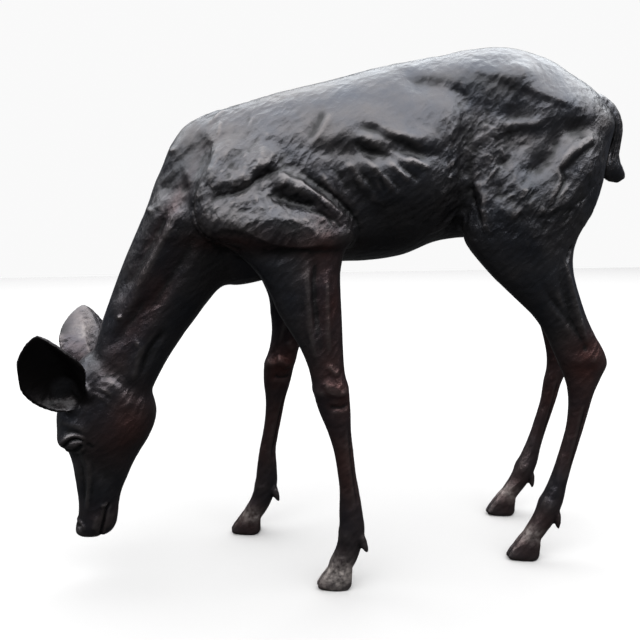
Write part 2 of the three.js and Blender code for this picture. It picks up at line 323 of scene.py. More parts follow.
def oval_rings(
    crown: Array, keel: Array, half: Array, share: Array, sides: int, point: float = 0.0
) -> Array:
    """Oval rings between crown and keel.

    At the angle a about the ring a point lies |cos a| of the way from the widest place to the crown
    (keel), and half * sin(a) * (1 - point * cos a) to the side.

    Args:
        crown: the top point of each ring.
        keel: the bottom point of each ring.
        half: half the width of each ring.
        share: where between crown and keel the ring is widest.
        sides: points in a ring.
        point: how much of the width is lost at the crown.

    Returns:
        An array of rings by sides by three.
    """
    angle = 2 * math.pi * np.arange(sides) / sides
    up = np.cos(angle)[None, :, None]
    middle = crown + (keel - crown) * np.reshape(share, (-1, 1))
    end = np.where(up > 0, crown[:, None], keel[:, None])
    rings = middle[:, None] + (end - middle[:, None]) * np.abs(up)
    taper = 1 - point * np.cos(angle)
    rings[..., 1] += np.reshape(half, (-1, 1)) * np.sin(angle) * taper
    return rings


# --------------------------------------------------------------------------------------------------
# The forms that the doe is built up from


@dataclass(frozen=True)
class MidForm:
    """A form on the middle plane, such as the trunk, as rings through its rows."""

    rows: Rows
    rings: int
    sides: int

    def shells(self) -> list[Shell]:
        """Ovals between the smooth runs through the crown points and the keel points.

        Returns:
            The form as one closed shell.
        """
        t = np.linspace(0, 1, self.rings)
        rows = np.array(self.rows, float)
        flat = np.zeros(len(rows))
        crown = through(np.stack([rows[:, 0], flat, rows[:, 1]], axis=1), t)
        keel = through(np.stack([rows[:, 2], flat, rows[:, 3]], axis=1), t)
        girth = through(rows[:, 4:6], t)
        return [Shell.from_rings(oval_rings(crown, keel, girth[:, 0], girth[:, 1], self.sides))]


@dataclass(frozen=True)
class Leg:
    """A leg with its two claws and two dewclaws.

    Its top stands root, and its hoof stance, out from the middle plane. The claws are laid out from x at
    sole, toe_gap either side of the leg, with their toes toe_in closer. A dewclaw starts at the heel
    (x, z), dewclaw_gap either side of it, and falls at an angle in degrees.
    """

    rows: Rows
    side: Flank
    root: float
    stance: float
    step: Rows
    sole: float
    heel: Pair
    dewclaw_fall: float
    dewclaw_length: float
    toe_gap: float = 9.5
    toe_in: float = 5
    toe_point: float = 0.3
    dewclaw_radius: float = 8
    dewclaw_gap: float = 9
    dewclaw_spread: float = 0.12
    dewclaw_taper: tuple[float, ...] = (0.8, 1, 0.8, 0.3)
    rings: int = 190
    sides: int = 48
    claw_rings: int = 40
    dewclaw_rings: int = 24

    def shells(self) -> list[Shell]:
        """The limb, its claws and its dewclaws as closed shells."""
        return [self.limb(), *map(self.claw, (-1, 1)), *map(self.dewclaw, (-1, 1))]

    def limb(self) -> Shell:
        """The limb as rings from front to back, each as far out as its row says.

        Returns:
            The limb as a closed shell.
        """
        rows = np.array(self.rows, float)
        z = rows[:, 0]
        away = offset_at(self.step, z)
        out = self.side.value * (self.root + (self.stance - self.root) * rows[:, 3])
        t = np.linspace(0, 1, self.rings)
        front = through(np.stack([rows[:, 1] + away, out, z], axis=1), t)
        back = through(np.stack([rows[:, 2] + away, out, z], axis=1), t)
        half = through(rows[:, 4:5], t)[:, 0]
        return Shell.from_rings(oval_rings(front, back, half, np.full(len(t), 0.5), self.sides))

    def claw(self, way: int) -> Shell:
        """One claw of the hoof: rings pointed in front, from the coronet to the flat sole.

        Args:
            way: -1 or 1, the side of the leg that it is on.

        Returns:
            The claw as a closed shell.
        """
        rows = np.array(CLAW, float)
        t = np.linspace(0, 1, self.claw_rings)
        place = t * (len(rows) - 1)
        z, front, back, half = (np.interp(place, range(len(rows)), column) for column in rows.T)
        x = self.sole + offset_at(self.step, np.array([0.0]))[0]
        y = self.side.value * self.stance + way * self.toe_gap
        crown = np.stack([x + front, np.full(len(t), y - way * self.toe_in), z], axis=1)
        keel = np.stack([x + back, np.full(len(t), y), z], axis=1)
        share = np.full(len(t), 0.6)
        rings = oval_rings(crown, keel, half, share, self.claw_rings, self.toe_point)
        return Shell.from_rings(rings)

    def dewclaw(self, way: int) -> Shell:
        """One small claw behind the fetlock: a tapering round that points down and back.

        Args:
            way: -1 or 1, the side of the leg that it is on.

        Returns:
            The dewclaw as a closed shell.
        """
        x, z = self.heel
        shift = offset_at(self.step, np.array([z]))[0]
        y = self.side.value * self.stance + way * self.dewclaw_gap
        fall = math.radians(self.dewclaw_fall)
        run, drop = math.cos(fall), math.sin(fall)
        t = np.linspace(0, 1, self.dewclaw_rings)
        along = np.array([run, self.dewclaw_spread * way, -drop]) * self.dewclaw_length
        centre = np.array([x + shift, y, z]) + t[:, None] * along
        radius = self.dewclaw_radius * np.interp(t * 3, range(4), self.dewclaw_taper)
        across = np.array([drop, 0, run]) * radius[:, None]
        share = np.full(len(t), 0.5)
        rings = oval_rings(centre + across, centre - across, radius, share, self.dewclaw_rings)
        return Shell.from_rings(rings)


@dataclass(frozen=True)
class Ear:
    """A leaf-shaped cup on a bent spine from root to tip, open towards open.

    A fold runs down the ear at a share of its half width, with its height inside and on the back.
    """

    root: Triple
    leaf: Triple
    tip: Triple
    open: Triple
    width: float = 104
    cup: float = 28
    wall: float = 7
    folds: tuple[Triple, ...] = ((0.78, 3, 0.3), (-0.15, 2.5, 0.3))
    fold_reach: float = 0.1
    skew: float = 1.15
    fullness: float = 0.75

    def shells(self) -> list[Shell]:
        """Each ring is a bow round the back of the ear and a smaller bow inside it.

        The spine is the quadratic curve from root to tip that leans towards leaf. At the share t of the
        way the ear is sin(pi * t ** skew) ** fullness of its full width. At the share u of that half
        width it lies depth * (1 - u * u) behind the spine, and the two bows stand half the wall off on
        either side.

        Returns:
            The ear as one closed shell.
        """
        t = np.sin(np.linspace(0, math.pi / 2, 90))[:, None]
        root, leaf, tip = (np.array(p, float) for p in (self.root, self.leaf, self.tip))
        spine = (1 - t) ** 2 * root + 2 * t * (1 - t) * leaf + t**2 * tip
        along = unit((1 - t) * (leaf - root) + t * (tip - leaf))
        facing = np.array(self.open, float)
        facing = unit(facing - along * (along @ facing)[:, None])
        across = np.cross(along, facing)
        share = np.maximum(np.sin(math.pi * t[:, 0] ** self.skew), 0.01) ** self.fullness
        half = share * self.width / 2
        wall = np.minimum(self.wall, half * 0.6)[:, None]
        depth = self.cup * np.minimum(0.4 + 4 * t, 1.03) * (1.02 - t**3)
        u = np.linspace(-1, 1, 41)
        lean = np.hypot(2 * depth * u, half[:, None])
        side, front = -2 * depth * u / lean, half[:, None] / lean
        fold = sum(
            np.exp(-(((u - at) / self.fold_reach) ** 2)) * (1 - t) * np.array([[[inside]], [[outside]]])
            for at, inside, outside in self.folds
        )

        def bow(offset: Array) -> Array:
            """A bow of each ring.

            Args:
                offset: how far it stands off the ear's middle sheet, towards the opening.

            Returns:
                Its points, as an array of rings by points by three.
            """
            reach = (half[:, None] * u + side * offset)[..., None]
            ahead = (-depth * (1 - u * u) + front * offset)[..., None]
            return spine[:, None] + across[:, None] * reach + facing[:, None] * ahead

        inside, back = bow(wall / 2 + fold[0]), bow(-wall / 2 - fold[1])
        return [Shell.from_rings(np.concatenate([back, inside[:, ::-1]], axis=1))]


# --------------------------------------------------------------------------------------------------
# Modelling on the joined skin


@dataclass(frozen=True)
class Form:
    """A muscle, bone or hollow, or a spot of the finish.

    It has a middle (x, z), a reach along and across, the way it runs in degrees up from +X, and a height:
    below 0 it is a hollow. A form on a leg follows that leg's step.
    """

    at: Pair
    reach: Pair
    turn: float
    height: float
    step: Rows | None = None
    flank: Flank = Flank.BOTH

    def rise(self, points: Array) -> Array:
        """The height times exp(-u * u - v * v), with u and v the shares of the reach along and across.

        Args:
            points: where to read it, one row each.

        Returns:
            One height for each point, 0 on the other flank.
        """
        far = 0.0
        if self.step:
            z = np.clip(points[:, 2], 0, self.at[1] + self.reach[0])
            far = np.where(points[:, 1] > 0, offset_at(self.step, z), 0.0)
        dx, dz = points[:, 0] - far - self.at[0], points[:, 2] - self.at[1]
        cos, sin = math.cos(math.radians(self.turn)), math.sin(math.radians(self.turn))
        u = (dx * cos + dz * sin) / self.reach[0]
        v = (dz * cos - dx * sin) / self.reach[1]
        rise = self.height * np.exp(-u * u - v * v)
        if self.flank is Flank.BOTH:
            return rise
        return np.where(points[:, 1] * self.flank.value > 0, rise, 0.0)


RELIEF = (
    Form((-183, 712), (75, 20), 74, 7),  # front edge of the shoulder blade
    Form((-118, 722), (70, 22), 64, 6),  # spine of the shoulder blade
    Form((-196, 618), (34, 30), 0, 8),  # point of the shoulder
    Form((-92, 604), (104, 26), -3, 9),  # upper arm
    Form((-98, 672), (45, 20), -32, -6),  # hollow behind the shoulder blade
    Form((-28, 650), (72, 20), -35, 10),  # triceps
    Form((14, 602), (20, 18), 0, 9),  # elbow
    Form((112, 684), (110, 44), -4, 10),  # barrel of the ribs
    Form((48, 662), (62, 26), -58, -7),  # hollow behind the elbow
    Form((78, 753), (90, 14), 0, 5),  # ends of the ribs
    Form((84, 728), (88, 13), 0, -5),  # below the ends of the ribs
    Form((222, 700), (85, 22), 82, -13),  # hollow of the flank
    Form((259, 690), (88, 18), 84, 8),  # front edge of the thigh
    Form((316, 864), (28, 18), 10, 8),  # point of the hip
    Form((396, 800), (62, 34), 0, 6),  # haunch
    Form((345, 730), (60, 26), 60, -5),  # hollow of the thigh
    Form((424, 706), (64, 20), 54, 8),  # hamstring
    Form((490, 786), (24, 20), 0, 7),  # point of the rump
    Form((398, 470), (52, 7), -48, -4, HIND_STEP),  # groove before the hock tendon
    Form((-282, 560), (110, 13), 60, 6),  # long muscle of the neck
    Form((-262, 528), (100, 12), 57, -6),  # groove of the throat
    Form((-441, 263), (18, 15), 80, 11),  # brow
    Form((-430, 232), (20, 12), 80, -6),  # hollow before the eye
    Form((-338, 276), (34, 26), 60, 5),  # cheek
    Form((-376, 196), (40, 12), 100, -4),  # below the cheek
)


class Profile(Enum):
    """How a stroke falls off to its sides."""

    ROUND = "round"
    CREASE = "crease"


@dataclass(frozen=True)
class Stroke:
    """A ridge, crest or groove along a path on the flank.

    The path is a few points (x, z). above is its reach on the side that lies to the left of the way it
    runs (above it, for a path that runs to the tail), below its reach on the other side. A height below
    0 makes a groove. A stroke on a leg follows that leg's step. At either end it fades in over the share
    fade of the path.
    """

    path: Rows
    above: float
    below: float
    height: float
    profile: Profile = Profile.ROUND
    step: Rows | None = None
    fade: float = 0.3

    def rise(self, points: Array) -> Array:
        """The height times exp(-d * d), or exp(-|d|) in a crease, faded at both ends of the path.

        d is the distance from the nearest place on the path, as a share of the reach on that side.

        Args:
            points: where to read it, one row each.

        Returns:
            One height for each point.
        """
        line = through(np.array(self.path, float), np.linspace(0, 1, 6 * len(self.path)))
        far = 0.0
        if self.step:
            z = np.clip(points[:, 2], 0, line[:, 1].max() + self.above)
            far = np.where(points[:, 1] > 0, offset_at(self.step, z), 0.0)
        flat = np.stack([points[:, 0] - far, points[:, 2]], axis=1)
        reach = 3 * max(self.above, self.below)
        close = np.all((flat > line.min(0) - reach) & (flat < line.max(0) + reach), axis=1)
        spot = flat[close][:, None]
        start, span = line[:-1], np.diff(line, axis=0)
        length = np.linalg.norm(span, axis=1)
        share = np.clip(np.einsum("ijk,jk->ij", spot - start, span) / length**2, 0, 1)
        away = spot - start - share[..., None] * span
        distance = np.linalg.norm(away, axis=2)
        nearest = np.argmin(distance, axis=1)
        row = np.arange(len(nearest))
        off = away[row, nearest]
        side = span[nearest, 0] * off[:, 1] - span[nearest, 1] * off[:, 0]
        d = distance[row, nearest] / np.where(side > 0, self.above, self.below)
        fall = np.exp(-d) if self.profile is Profile.CREASE else np.exp(-d * d)
        passed = np.concatenate([[0], np.cumsum(length)[:-1]])[nearest]
        along = (passed + share[row, nearest] * length[nearest]) / length.sum()
        taper = smoothstep(along, 0, self.fade) * smoothstep(1 - along, 0, self.fade)
        rise = np.zeros(len(points))
        rise[close] = self.height * fall * taper
        return rise


def summed(forms: tuple[Form | Stroke, ...], points: Array) -> Array:
    """The heights of the forms added up at each point."""
    return sum(form.rise(points) for form in forms)


BODY_STROKES = (
    # shoulder
    Stroke(((-172, 800), (-175, 770), (-179, 735), (-197, 702), (-208, 668)), 30, 20, 4),
    Stroke(((-100, 752), (-138, 733), (-160, 711), (-186, 700)), 12, 12, -5),
    Stroke(((-70, 742), (-108, 711), (-135, 691), (-172, 677)), 11, 11, 4.5),
    Stroke(
        ((-64, 720), (-96, 699), (-118, 690), (-135, 676), (-155, 668), (-181, 661), (-204, 645)),
        13, 13, -6,
    ),
    Stroke(((-100, 696), (-66, 684), (-36, 665), (-4, 644), (23, 622), (34, 606)), 6, 15, 9),
    Stroke(((-110, 668), (-75, 656), (-52, 650), (-18, 646)), 9, 9, -9),
    Stroke(((-180, 664), (-114, 647), (-68, 630), (-20, 616)), 15, 15, 4),
    Stroke(((-215, 618), (-145, 614), (-110, 603), (-60, 592), (0, 590), (34, 602)), 32, 9, 8),
    Stroke(((-212, 588), (-168, 580), (-115, 574), (-50, 576)), 10, 14, -6),
    Stroke(((-110, 578), (-145, 574), (-180, 566)), 7, 7, 3),
    # rib cage
    Stroke(
        ((-30, 752), (0, 756), (30, 772), (56, 776), (86, 762), (118, 750), (145, 740), (200, 736)),
        26, 9, 5,
    ),
    Stroke(((24, 760), (48, 749), (68, 738), (96, 725), (126, 713), (156, 704)), 9, 8, 4.5),
    Stroke(((26, 750), (47, 732), (70, 718)), 8, 7, -4.5),
    Stroke(((30, 768), (61, 764), (83, 753), (108, 745), (140, 731)), 7, 7, -3.5),
    Stroke(((-26, 700), (4, 655)), 6, 6, 3),
    Stroke(((12, 722), (58, 666)), 7, 7, 3.2),
    Stroke(((44, 719), (98, 671)), 6, 6, 3.5),
    Stroke(((76, 721), (120, 683)), 6, 6, 3.2),
    Stroke(((110, 724), (158, 702)), 6, 6, 3),
    Stroke(((-8, 712), (30, 660)), 6, 6, -2.5),
    Stroke(((30, 708), (78, 656)), 6, 6, -2.8),
    Stroke(((62, 706), (110, 666)), 5, 5, -2.8),
    Stroke(((96, 712), (138, 684)), 5, 5, -2.5),
    Stroke(((2, 800), (-8, 782), (-22, 758), (-40, 736)), 6, 6, 2.5),
    Stroke(((-8, 800), (-20, 782), (-34, 758), (-46, 742)), 8, 8, -5),
    # loin and haunch
    Stroke(((192, 862), (200, 820), (202, 780), (196, 744)), 16, 34, 4.5),
    Stroke(((176, 816), (220, 808), (262, 798), (306, 784), (350, 766)), 34, 75, -13),
    Stroke(((106, 853), (150, 846), (196, 834), (240, 822)), 12, 28, -10),
    Stroke(((-276, 640), (-254, 690), (-226, 730), (-186, 760)), 16, 40, -10),
    Stroke(
        ((200, 874), (222, 869), (254, 863), (285, 854), (316, 841), (351, 829), (386, 817), (450, 808)),
        28, 9, 5,
    ),
    Stroke(((250, 784), (285, 779), (316, 779), (365, 783)), 10, 10, 4.5),
    Stroke(((372, 780), (370, 739), (349, 715), (316, 690)), 15, 15, -8),
    Stroke(((456, 772), (415, 745), (391, 728), (364, 700)), 9, 15, 9),
    Stroke(((258, 634), (286, 631), (319, 639), (354, 641), (378, 650), (430, 660)), 26, 8, 5),
    Stroke(((242, 706), (246, 660), (254, 600)), 8, 8, 4.5),
    Stroke(((222, 640), (196, 614), (160, 600)), 5, 5, 3.5),
    # neck
    Stroke(((-232, 722), (-232, 699), (-223, 684), (-220, 672), (-225, 640)), 18, 12, 4),
    Stroke(
        ((-250, 662), (-268, 622), (-285, 593), (-303, 564), (-320, 537), (-338, 512), (-354, 480)),
        11, 11, -9,
    ),
    Stroke(
        ((-238, 660), (-259, 617), (-272, 594), (-286, 570), (-298, 549), (-312, 526), (-330, 496)),
        9, 9, 6,
    ),
    Stroke(((-372, 402), (-343, 439), (-314, 477), (-284, 518)), 12, 12, -7),
    Stroke(((-306, 430), (-320, 388), (-330, 350)), 7, 7, 4),
    Stroke(((-266, 452), (-297, 412), (-315, 366)), 7, 7, -6),
)
FINE_STROKES = (
    Stroke(
        ((-60, 708), (-40, 690), (-18, 673), (6, 656), (32, 630), (44, 604), (40, 580)),
        4, 5, -8, Profile.CREASE,
    ),
    Stroke(
        ((-70, 712), (-96, 699), (-118, 689), (-135, 675), (-155, 667), (-181, 660), (-204, 643)),
        3, 3, -3.5,
    ),
    Stroke(((-86, 626), (-69, 620), (-50, 605)), 3, 3, -3.5),
    Stroke(((-56, 645), (-28, 636), (-12, 625), (-1, 608)), 2.5, 3, -3),
    Stroke(((-42, 645), (-18, 633), (2, 620), (10, 604)), 2.5, 2.5, -2),
    Stroke(((-166, 690), (-158, 682), (-150, 676)), 7, 7, 3, fade=0.5),
    Stroke(((-156, 800), (-170, 794), (-182, 785), (-198, 771)), 3, 3, 3),
    Stroke(((-171, 783), (-175, 769), (-179, 752)), 3, 3, 3),
    Stroke(((-240, 712), (-234, 685), (-234, 660)), 7, 7, -3),
    Stroke(((-238, 710), (-257, 693), (-270, 678)), 5, 5, 2),
    Stroke(((30, 692), (46, 668)), 4, 4, 2.5),
    Stroke(((66, 698), (80, 664)), 4, 4, -2.5),
    Stroke(((232, 735), (233, 700), (235, 674), (242, 633), (256, 588)), 4, 6, -7, Profile.CREASE),
    Stroke(((374, 714), (384, 690), (375, 672), (360, 645)), 3, 3, -5),
    Stroke(((367, 712), (376, 690), (367, 670), (352, 642)), 4, 4, 3.5),
    Stroke(((281, 742), (289, 720)), 3, 3, 3),
)
HEAD_STROKES = (
    Stroke(((-454, 296), (-430, 294), (-412, 288), (-398, 272)), 10, 7, 3),  # brow
    Stroke(  # upper lid
        ((-449, 256), (-440, 267), (-427, 275), (-414, 274), (-405, 266)),
        4, 2.6, 4, fade=0.15,
    ),
    Stroke(((-444, 253), (-437, 262), (-427, 268), (-417, 269), (-410, 264)), 2.2, 2.2, -4.5, fade=0.1),
    Stroke(((-442, 250), (-433, 247), (-422, 249), (-411, 260)), 2.2, 2.2, -3.5, fade=0.1),
    Stroke(((-446, 247), (-434, 241), (-421, 242), (-408, 255)), 2.6, 3.4, 3, fade=0.15),  # lower lid
    Stroke(((-407, 262), (-400, 257), (-394, 249)), 4, 4, -2),
    Stroke(((-418, 240), (-409, 225), (-406, 206), (-409, 179), (-414, 150), (-418, 118)), 4, 5, 3.5),
    Stroke(((-423, 236), (-421, 205), (-421, 167), (-424, 130)), 6, 5, -4),
    Stroke(((-400, 240), (-390, 205), (-378, 175)), 13, 13, -3),
    Stroke(((-384, 366), (-363, 360), (-348, 344), (-339, 325), (-330, 300)), 11, 16, 4.5),  # parotid
    Stroke(((-392, 356), (-374, 350), (-356, 336)), 4, 4, 1.6),
    Stroke(((-398, 344), (-384, 342), (-368, 330), (-360, 314)), 4, 4, 1.3),
    Stroke(((-370, 376), (-352, 370), (-336, 356)), 4, 4, 1.5),
    Stroke(((-380, 366), (-362, 372), (-344, 368)), 6, 6, -2),
    Stroke(  # mouth
        ((-378, 144), (-384, 130), (-389, 110), (-395, 90), (-399, 74)),
        2.4, 2.4, -6, fade=0.12,
    ),
    Stroke(((-396, 136), (-378, 141)), 4, 4, 3.5, fade=0.4),
    Stroke(((-374, 126), (-377, 112), (-384, 90)), 5, 5, 2.5),
    Stroke(((-396, 124), (-402, 108), (-406, 90)), 6, 6, 2.5),
    Stroke(((-441, 106), (-431, 108), (-424, 100), (-426, 92)), 3, 3, 3),  # rim of the nostril
)
LEG_STROKES = (
    Stroke(((-49, 585), (-48, 533), (-45, 485), (-40, 437), (-24, 372)), 6, 7, 3.5, step=FORE_STEP),
    Stroke(((-34, 570), (-35, 501), (-28, 440)), 6, 6, -4, step=FORE_STEP),
    Stroke(((-16, 560), (-15, 468), (-12, 395)), 7, 7, 3, step=FORE_STEP),
    Stroke(((-20, 330), (4, 323), (28, 328)), 6, 5, -2, step=FORE_STEP),
    Stroke(((-22, 372), (-12, 356), (6, 347), (24, 350)), 6, 5, 2.5, step=FORE_STEP),
    Stroke(((-16, 398), (-6, 384), (6, 376)), 5, 5, 2, step=FORE_STEP),
    Stroke(((20, 305), (26, 240), (33, 180), (38, 136)), 3, 3, -2.5, step=FORE_STEP),
    Stroke(
        ((390, 580), (404, 540), (417, 500), (431, 461), (446, 424), (469, 387)),
        7, 5, 4.5, step=HIND_STEP,
    ),
    Stroke(((385, 550), (400, 505), (416, 461), (434, 412)), 7, 7, -2.5, step=HIND_STEP),
    Stroke(((420, 585), (402, 548)), 4, 4, -3.5, step=HIND_STEP),
    Stroke(((466, 310), (458, 250), (448, 200), (438, 150)), 3, 3, -2.5, step=HIND_STEP),
)
FINE_FORMS = (
    Form((409, 772), (30, 15), 8, -9),
    Form((310, 674), (16, 18), 0, 4),
    Form((265, 699), (8, 12), 0, 3),
    Form((276, 668), (12, 16), 0, -5),
    Form((-427, 257), (13, 7), 24, 4.5),  # eyeball
    Form((-434, 98), (6, 4), 50, -7),  # nostril
    Form((6, 356), (12, 18), 80, 3, FORE_STEP),  # bones of the knee
    Form((-25, 350), (8, 14), 90, 2.5, FORE_STEP),
    Form((16, 98), (14, 13), 0, 2.5, FORE_STEP),
    Form((472, 380), (14, 15), 0, 3.5, HIND_STEP),  # bones of the hock
    Form((438, 378), (11, 17), 80, 3, HIND_STEP),
    Form((454, 402), (9, 12), -50, -3, HIND_STEP),
    Form((404, 104), (14, 13), 0, 2.5, HIND_STEP),
    Form((332, 596), (42, 24), -52, 4, HIND_STEP),
    Form((-344, 467), (5, 4), 20, 3.5),  # lumps of clay left on the neck
    Form((-318, 424), (4, 6), 20, 2.5),
    Form((-290, 640), (5, 8), 60, 2.5),
    Form((-250, 735), (7, 5), 30, 2.5),
)

# Where the clay was smoothed: back, loin and belly
CALM_SPOTS = (
    Form((120, 810), (110, 55), 6, 0.8),
    Form((-30, 850), (160, 30), 9, 0.7),
    Form((300, 900), (130, 36), -6, 0.6),
    Form((60, 590), (170, 45), 0, 0.7),
)
# Where pale dust clings: the claws
DUSTY_SPOTS = (
    Form((0, 30), (44, 26), 0, 1.0, FORE_STEP, Flank.LEFT),
    Form((4, 42), (34, 14), 0, 0.6, FORE_STEP, Flank.RIGHT),
    Form((376, 50), (34, 14), -20, 0.55, HIND_STEP),
)
# The back of the far ear: its pale middle, and painted shade on its front edge, which is also made duller
PALE_EAR = Form((-420, 420), (18, 46), 0, 0.32, flank=Flank.RIGHT)
SHADED_EAR_EDGE = Form((-466, 420), (22, 90), 0, 1.5, flank=Flank.RIGHT)
# The shaded root of the near ear
CUP_ROOT = Form((-428, 334), (27, 16), 0, 1.2, flank=Flank.LEFT)
# Painted shade: spots where the colour is darkened and the finish made duller
PAINTED_SHADE_SPOTS = (
    Form((180, 851), (50, 9), 4, 0.5),  # loin
    Form((268, 838), (48, 26), -10, 0.75),
    Form((-389, 398), (20, 22), 0, 0.6),  # poll
    Form((-234, 708), (46, 40), 60, 0.6),  # root of the neck
    Form((-222, 572), (40, 56), 60, 0.6),
    Form((50, 588), (170, 24), 0, 0.5),  # belly
    Form((330, 655), (70, 46), 0, 0.45),  # thigh
    Form((20, 735), (60, 34), -30, 0.25),
)
# Where the patina is rubbed to a warm brown
WARM_SPOTS = (
    Form((-12, 500), (34, 110), 0, 0.9, FORE_STEP),  # forearm
    Form((0, 350), (40, 50), 0, 0.8, FORE_STEP),  # knee
    Form((15, 220), (50, 110), 0, 0.7, FORE_STEP),  # cannon
    Form((-10, 20), (60, 60), 0, 0.5, FORE_STEP),
    Form((466, 385), (46, 46), 0, 0.75, HIND_STEP),  # hock
    Form((445, 250), (50, 130), 0, 0.75, HIND_STEP),
    Form((395, 40), (60, 60), 0, 0.55, HIND_STEP),
    Form((-170, 590), (80, 13), 0, 0.7),  # under the upper arm
    Form((-40, 584), (70, 12), 0, 0.6),
    Form((-305, 480), (110, 26), 58, 0.7),  # neck
    Form((-265, 620), (90, 12), 60, 0.5),
    Form((-345, 280), (60, 50), 60, 0.75),  # cheek
    Form((-395, 110), (34, 34), 0, 0.5),  # muzzle
    Form((-424, 402), (50, 70), 0, 0.3, flank=Flank.RIGHT),  # back of the far ear
)


def drawn(cell: Array, seed: int) -> Array:
    """A number for each lattice cell, mixed from its whole-number address and the seed.

    Args:
        cell: the address of each cell, one row each.
        seed: picks another pattern.

    Returns:
        One number from -1 to 1 for each cell.
    """
    x, y, z = cell.T
    mixed = (x * 73856093) ^ (y * 19349663) ^ (z * 83492791) ^ (seed * 2654435761)
    mixed = (mixed ^ (mixed >> 13)) * 1274126177
    return ((mixed ^ (mixed >> 16)) & 0xFFFF) / 32767.5 - 1


def lumps(points: Array, size: float, seed: int) -> Array:
    """Smooth lumps of about the given size, from -1 to 1.

    A point takes the mean of the numbers drawn at its lattice cell's eight corners, weighted by the
    smoothstep of its place in the cell.

    Args:
        points: where to read the height.
        size: edge of a lattice cell.
        seed: picks another pattern.

    Returns:
        One height for each point.
    """
    place = points / size
    cell = np.floor(place).astype(np.int64)
    share = place - cell
    share = share * share * (3 - 2 * share)
    total = np.zeros(len(points))
    for corner in np.ndindex(2, 2, 2):
        weight = np.prod(np.where(corner, share, 1 - share), axis=1)
        total += weight * drawn(cell + corner, seed)
    return total


def dabs(points: Array, size: float, seed: int, crisp: float = 18.0) -> Array:
    """Flat dabs of clay pressed on at chance slants, from about -1 to 1.

    Each lattice cell holds one dab with a place, a height and a slant of its own. A point takes the mean
    of the planes of the dabs around it, weighted by exp(-crisp * d * d) with d the distance in cells.

    Args:
        points: where to read the height.
        size: about the width of a dab.
        seed: picks another pattern.
        crisp: how sharply one dab gives way to the next.

    Returns:
        One height for each point.
    """
    place = points / size
    cell = np.floor(place).astype(np.int64)
    total = np.zeros(len(points))
    share = np.zeros(len(points))
    for step in np.ndindex(3, 3, 3):
        near = cell + step - 1
        chance = np.stack([drawn(near, seed + i) for i in range(7)], axis=1)
        away = place - near - 0.5 - 0.35 * chance[:, :3]
        weight = np.exp(-crisp * np.einsum("ij,ij->i", away, away))
        total += weight * (0.4 * chance[:, 3] + np.einsum("ij,ij->i", away, chance[:, 4:]))
        share += weight
    return total / share


class Skin:
    """The joined surface as arrays that can be moved: points, faces and edges."""

    def __init__(self, points: Array, faces: Array) -> None:
        """Finds the edges, and how many meet at each point.

        Args:
            points: one row each.
            faces: four corners each.
        """
        self.points = points
        self.faces = faces
        sides = np.vstack([faces[:, [i, (i + 1) % 4]] for i in range(4)])
        self.edges = np.unique(np.sort(sides, axis=1), axis=0)
        self.degree = np.bincount(self.edges.ravel(), minlength=len(points)).astype(float)

    def mean(self, values: Array) -> Array:
        """The mean over each point's neighbours.

        Args:
            values: one value or one row for each point.

        Returns:
            The means, in the same shape.
        """
        a, b = self.edges.T
        size = len(values)
        sums = [
            np.bincount(a, column[b], size) + np.bincount(b, column[a], size)
            for column in values.reshape(size, -1).T
        ]
        return (np.stack(sums, axis=1) / self.degree[:, None]).reshape(values.shape)

    def normals(self) -> Array:
        """The cross product of each face's diagonals, summed over the faces at a point.

        Returns:
            One unit normal for each point.
        """
        corner = self.points[self.faces]
        cross = np.cross(corner[:, 2] - corner[:, 0], corner[:, 3] - corner[:, 1])
        total = np.zeros_like(self.points)
        for i in range(4):
            for axis in range(3):
                total[:, axis] += np.bincount(self.faces[:, i], cross[:, axis], len(self.points))
        return unit(total)

    def smooth(self, weight: Array | float, rounds: int, back: float = 0.0) -> None:
        """Moves each point towards its neighbours' mean by half its weight, that many times over.

        Args:
            weight: one share for all points, or one for each.
            rounds: how often.
            back: how much of each move is undone on the next, near 1 so that thin forms don't shrink.
        """
        share = 0.5 * np.broadcast_to(weight, len(self.points))[:, None]
        for _ in range(rounds):
            self.points = self.points + (self.mean(self.points) - self.points) * share
            if back:
                self.points = self.points - (self.mean(self.points) - self.points) * share * back

    def hollow(self, spread: int) -> Array:
        """How hollow the skin is, as one over the radius of its bend in millimetres.

        Args:
            spread: rounds that the measure is averaged over its neighbours.

        Returns:
            One number for each point, above 0 in a seam.
        """
        normals = self.normals()
        step = self.points[self.edges[:, 0]] - self.points[self.edges[:, 1]]
        reach = float(np.mean(np.einsum("ij,ij->i", step, step)))
        bend = np.einsum("ij,ij->i", self.mean(self.points) - self.points, normals) * 4 / reach
        for _ in range(spread):
            bend = 0.5 * bend + 0.5 * self.mean(bend)
        return bend


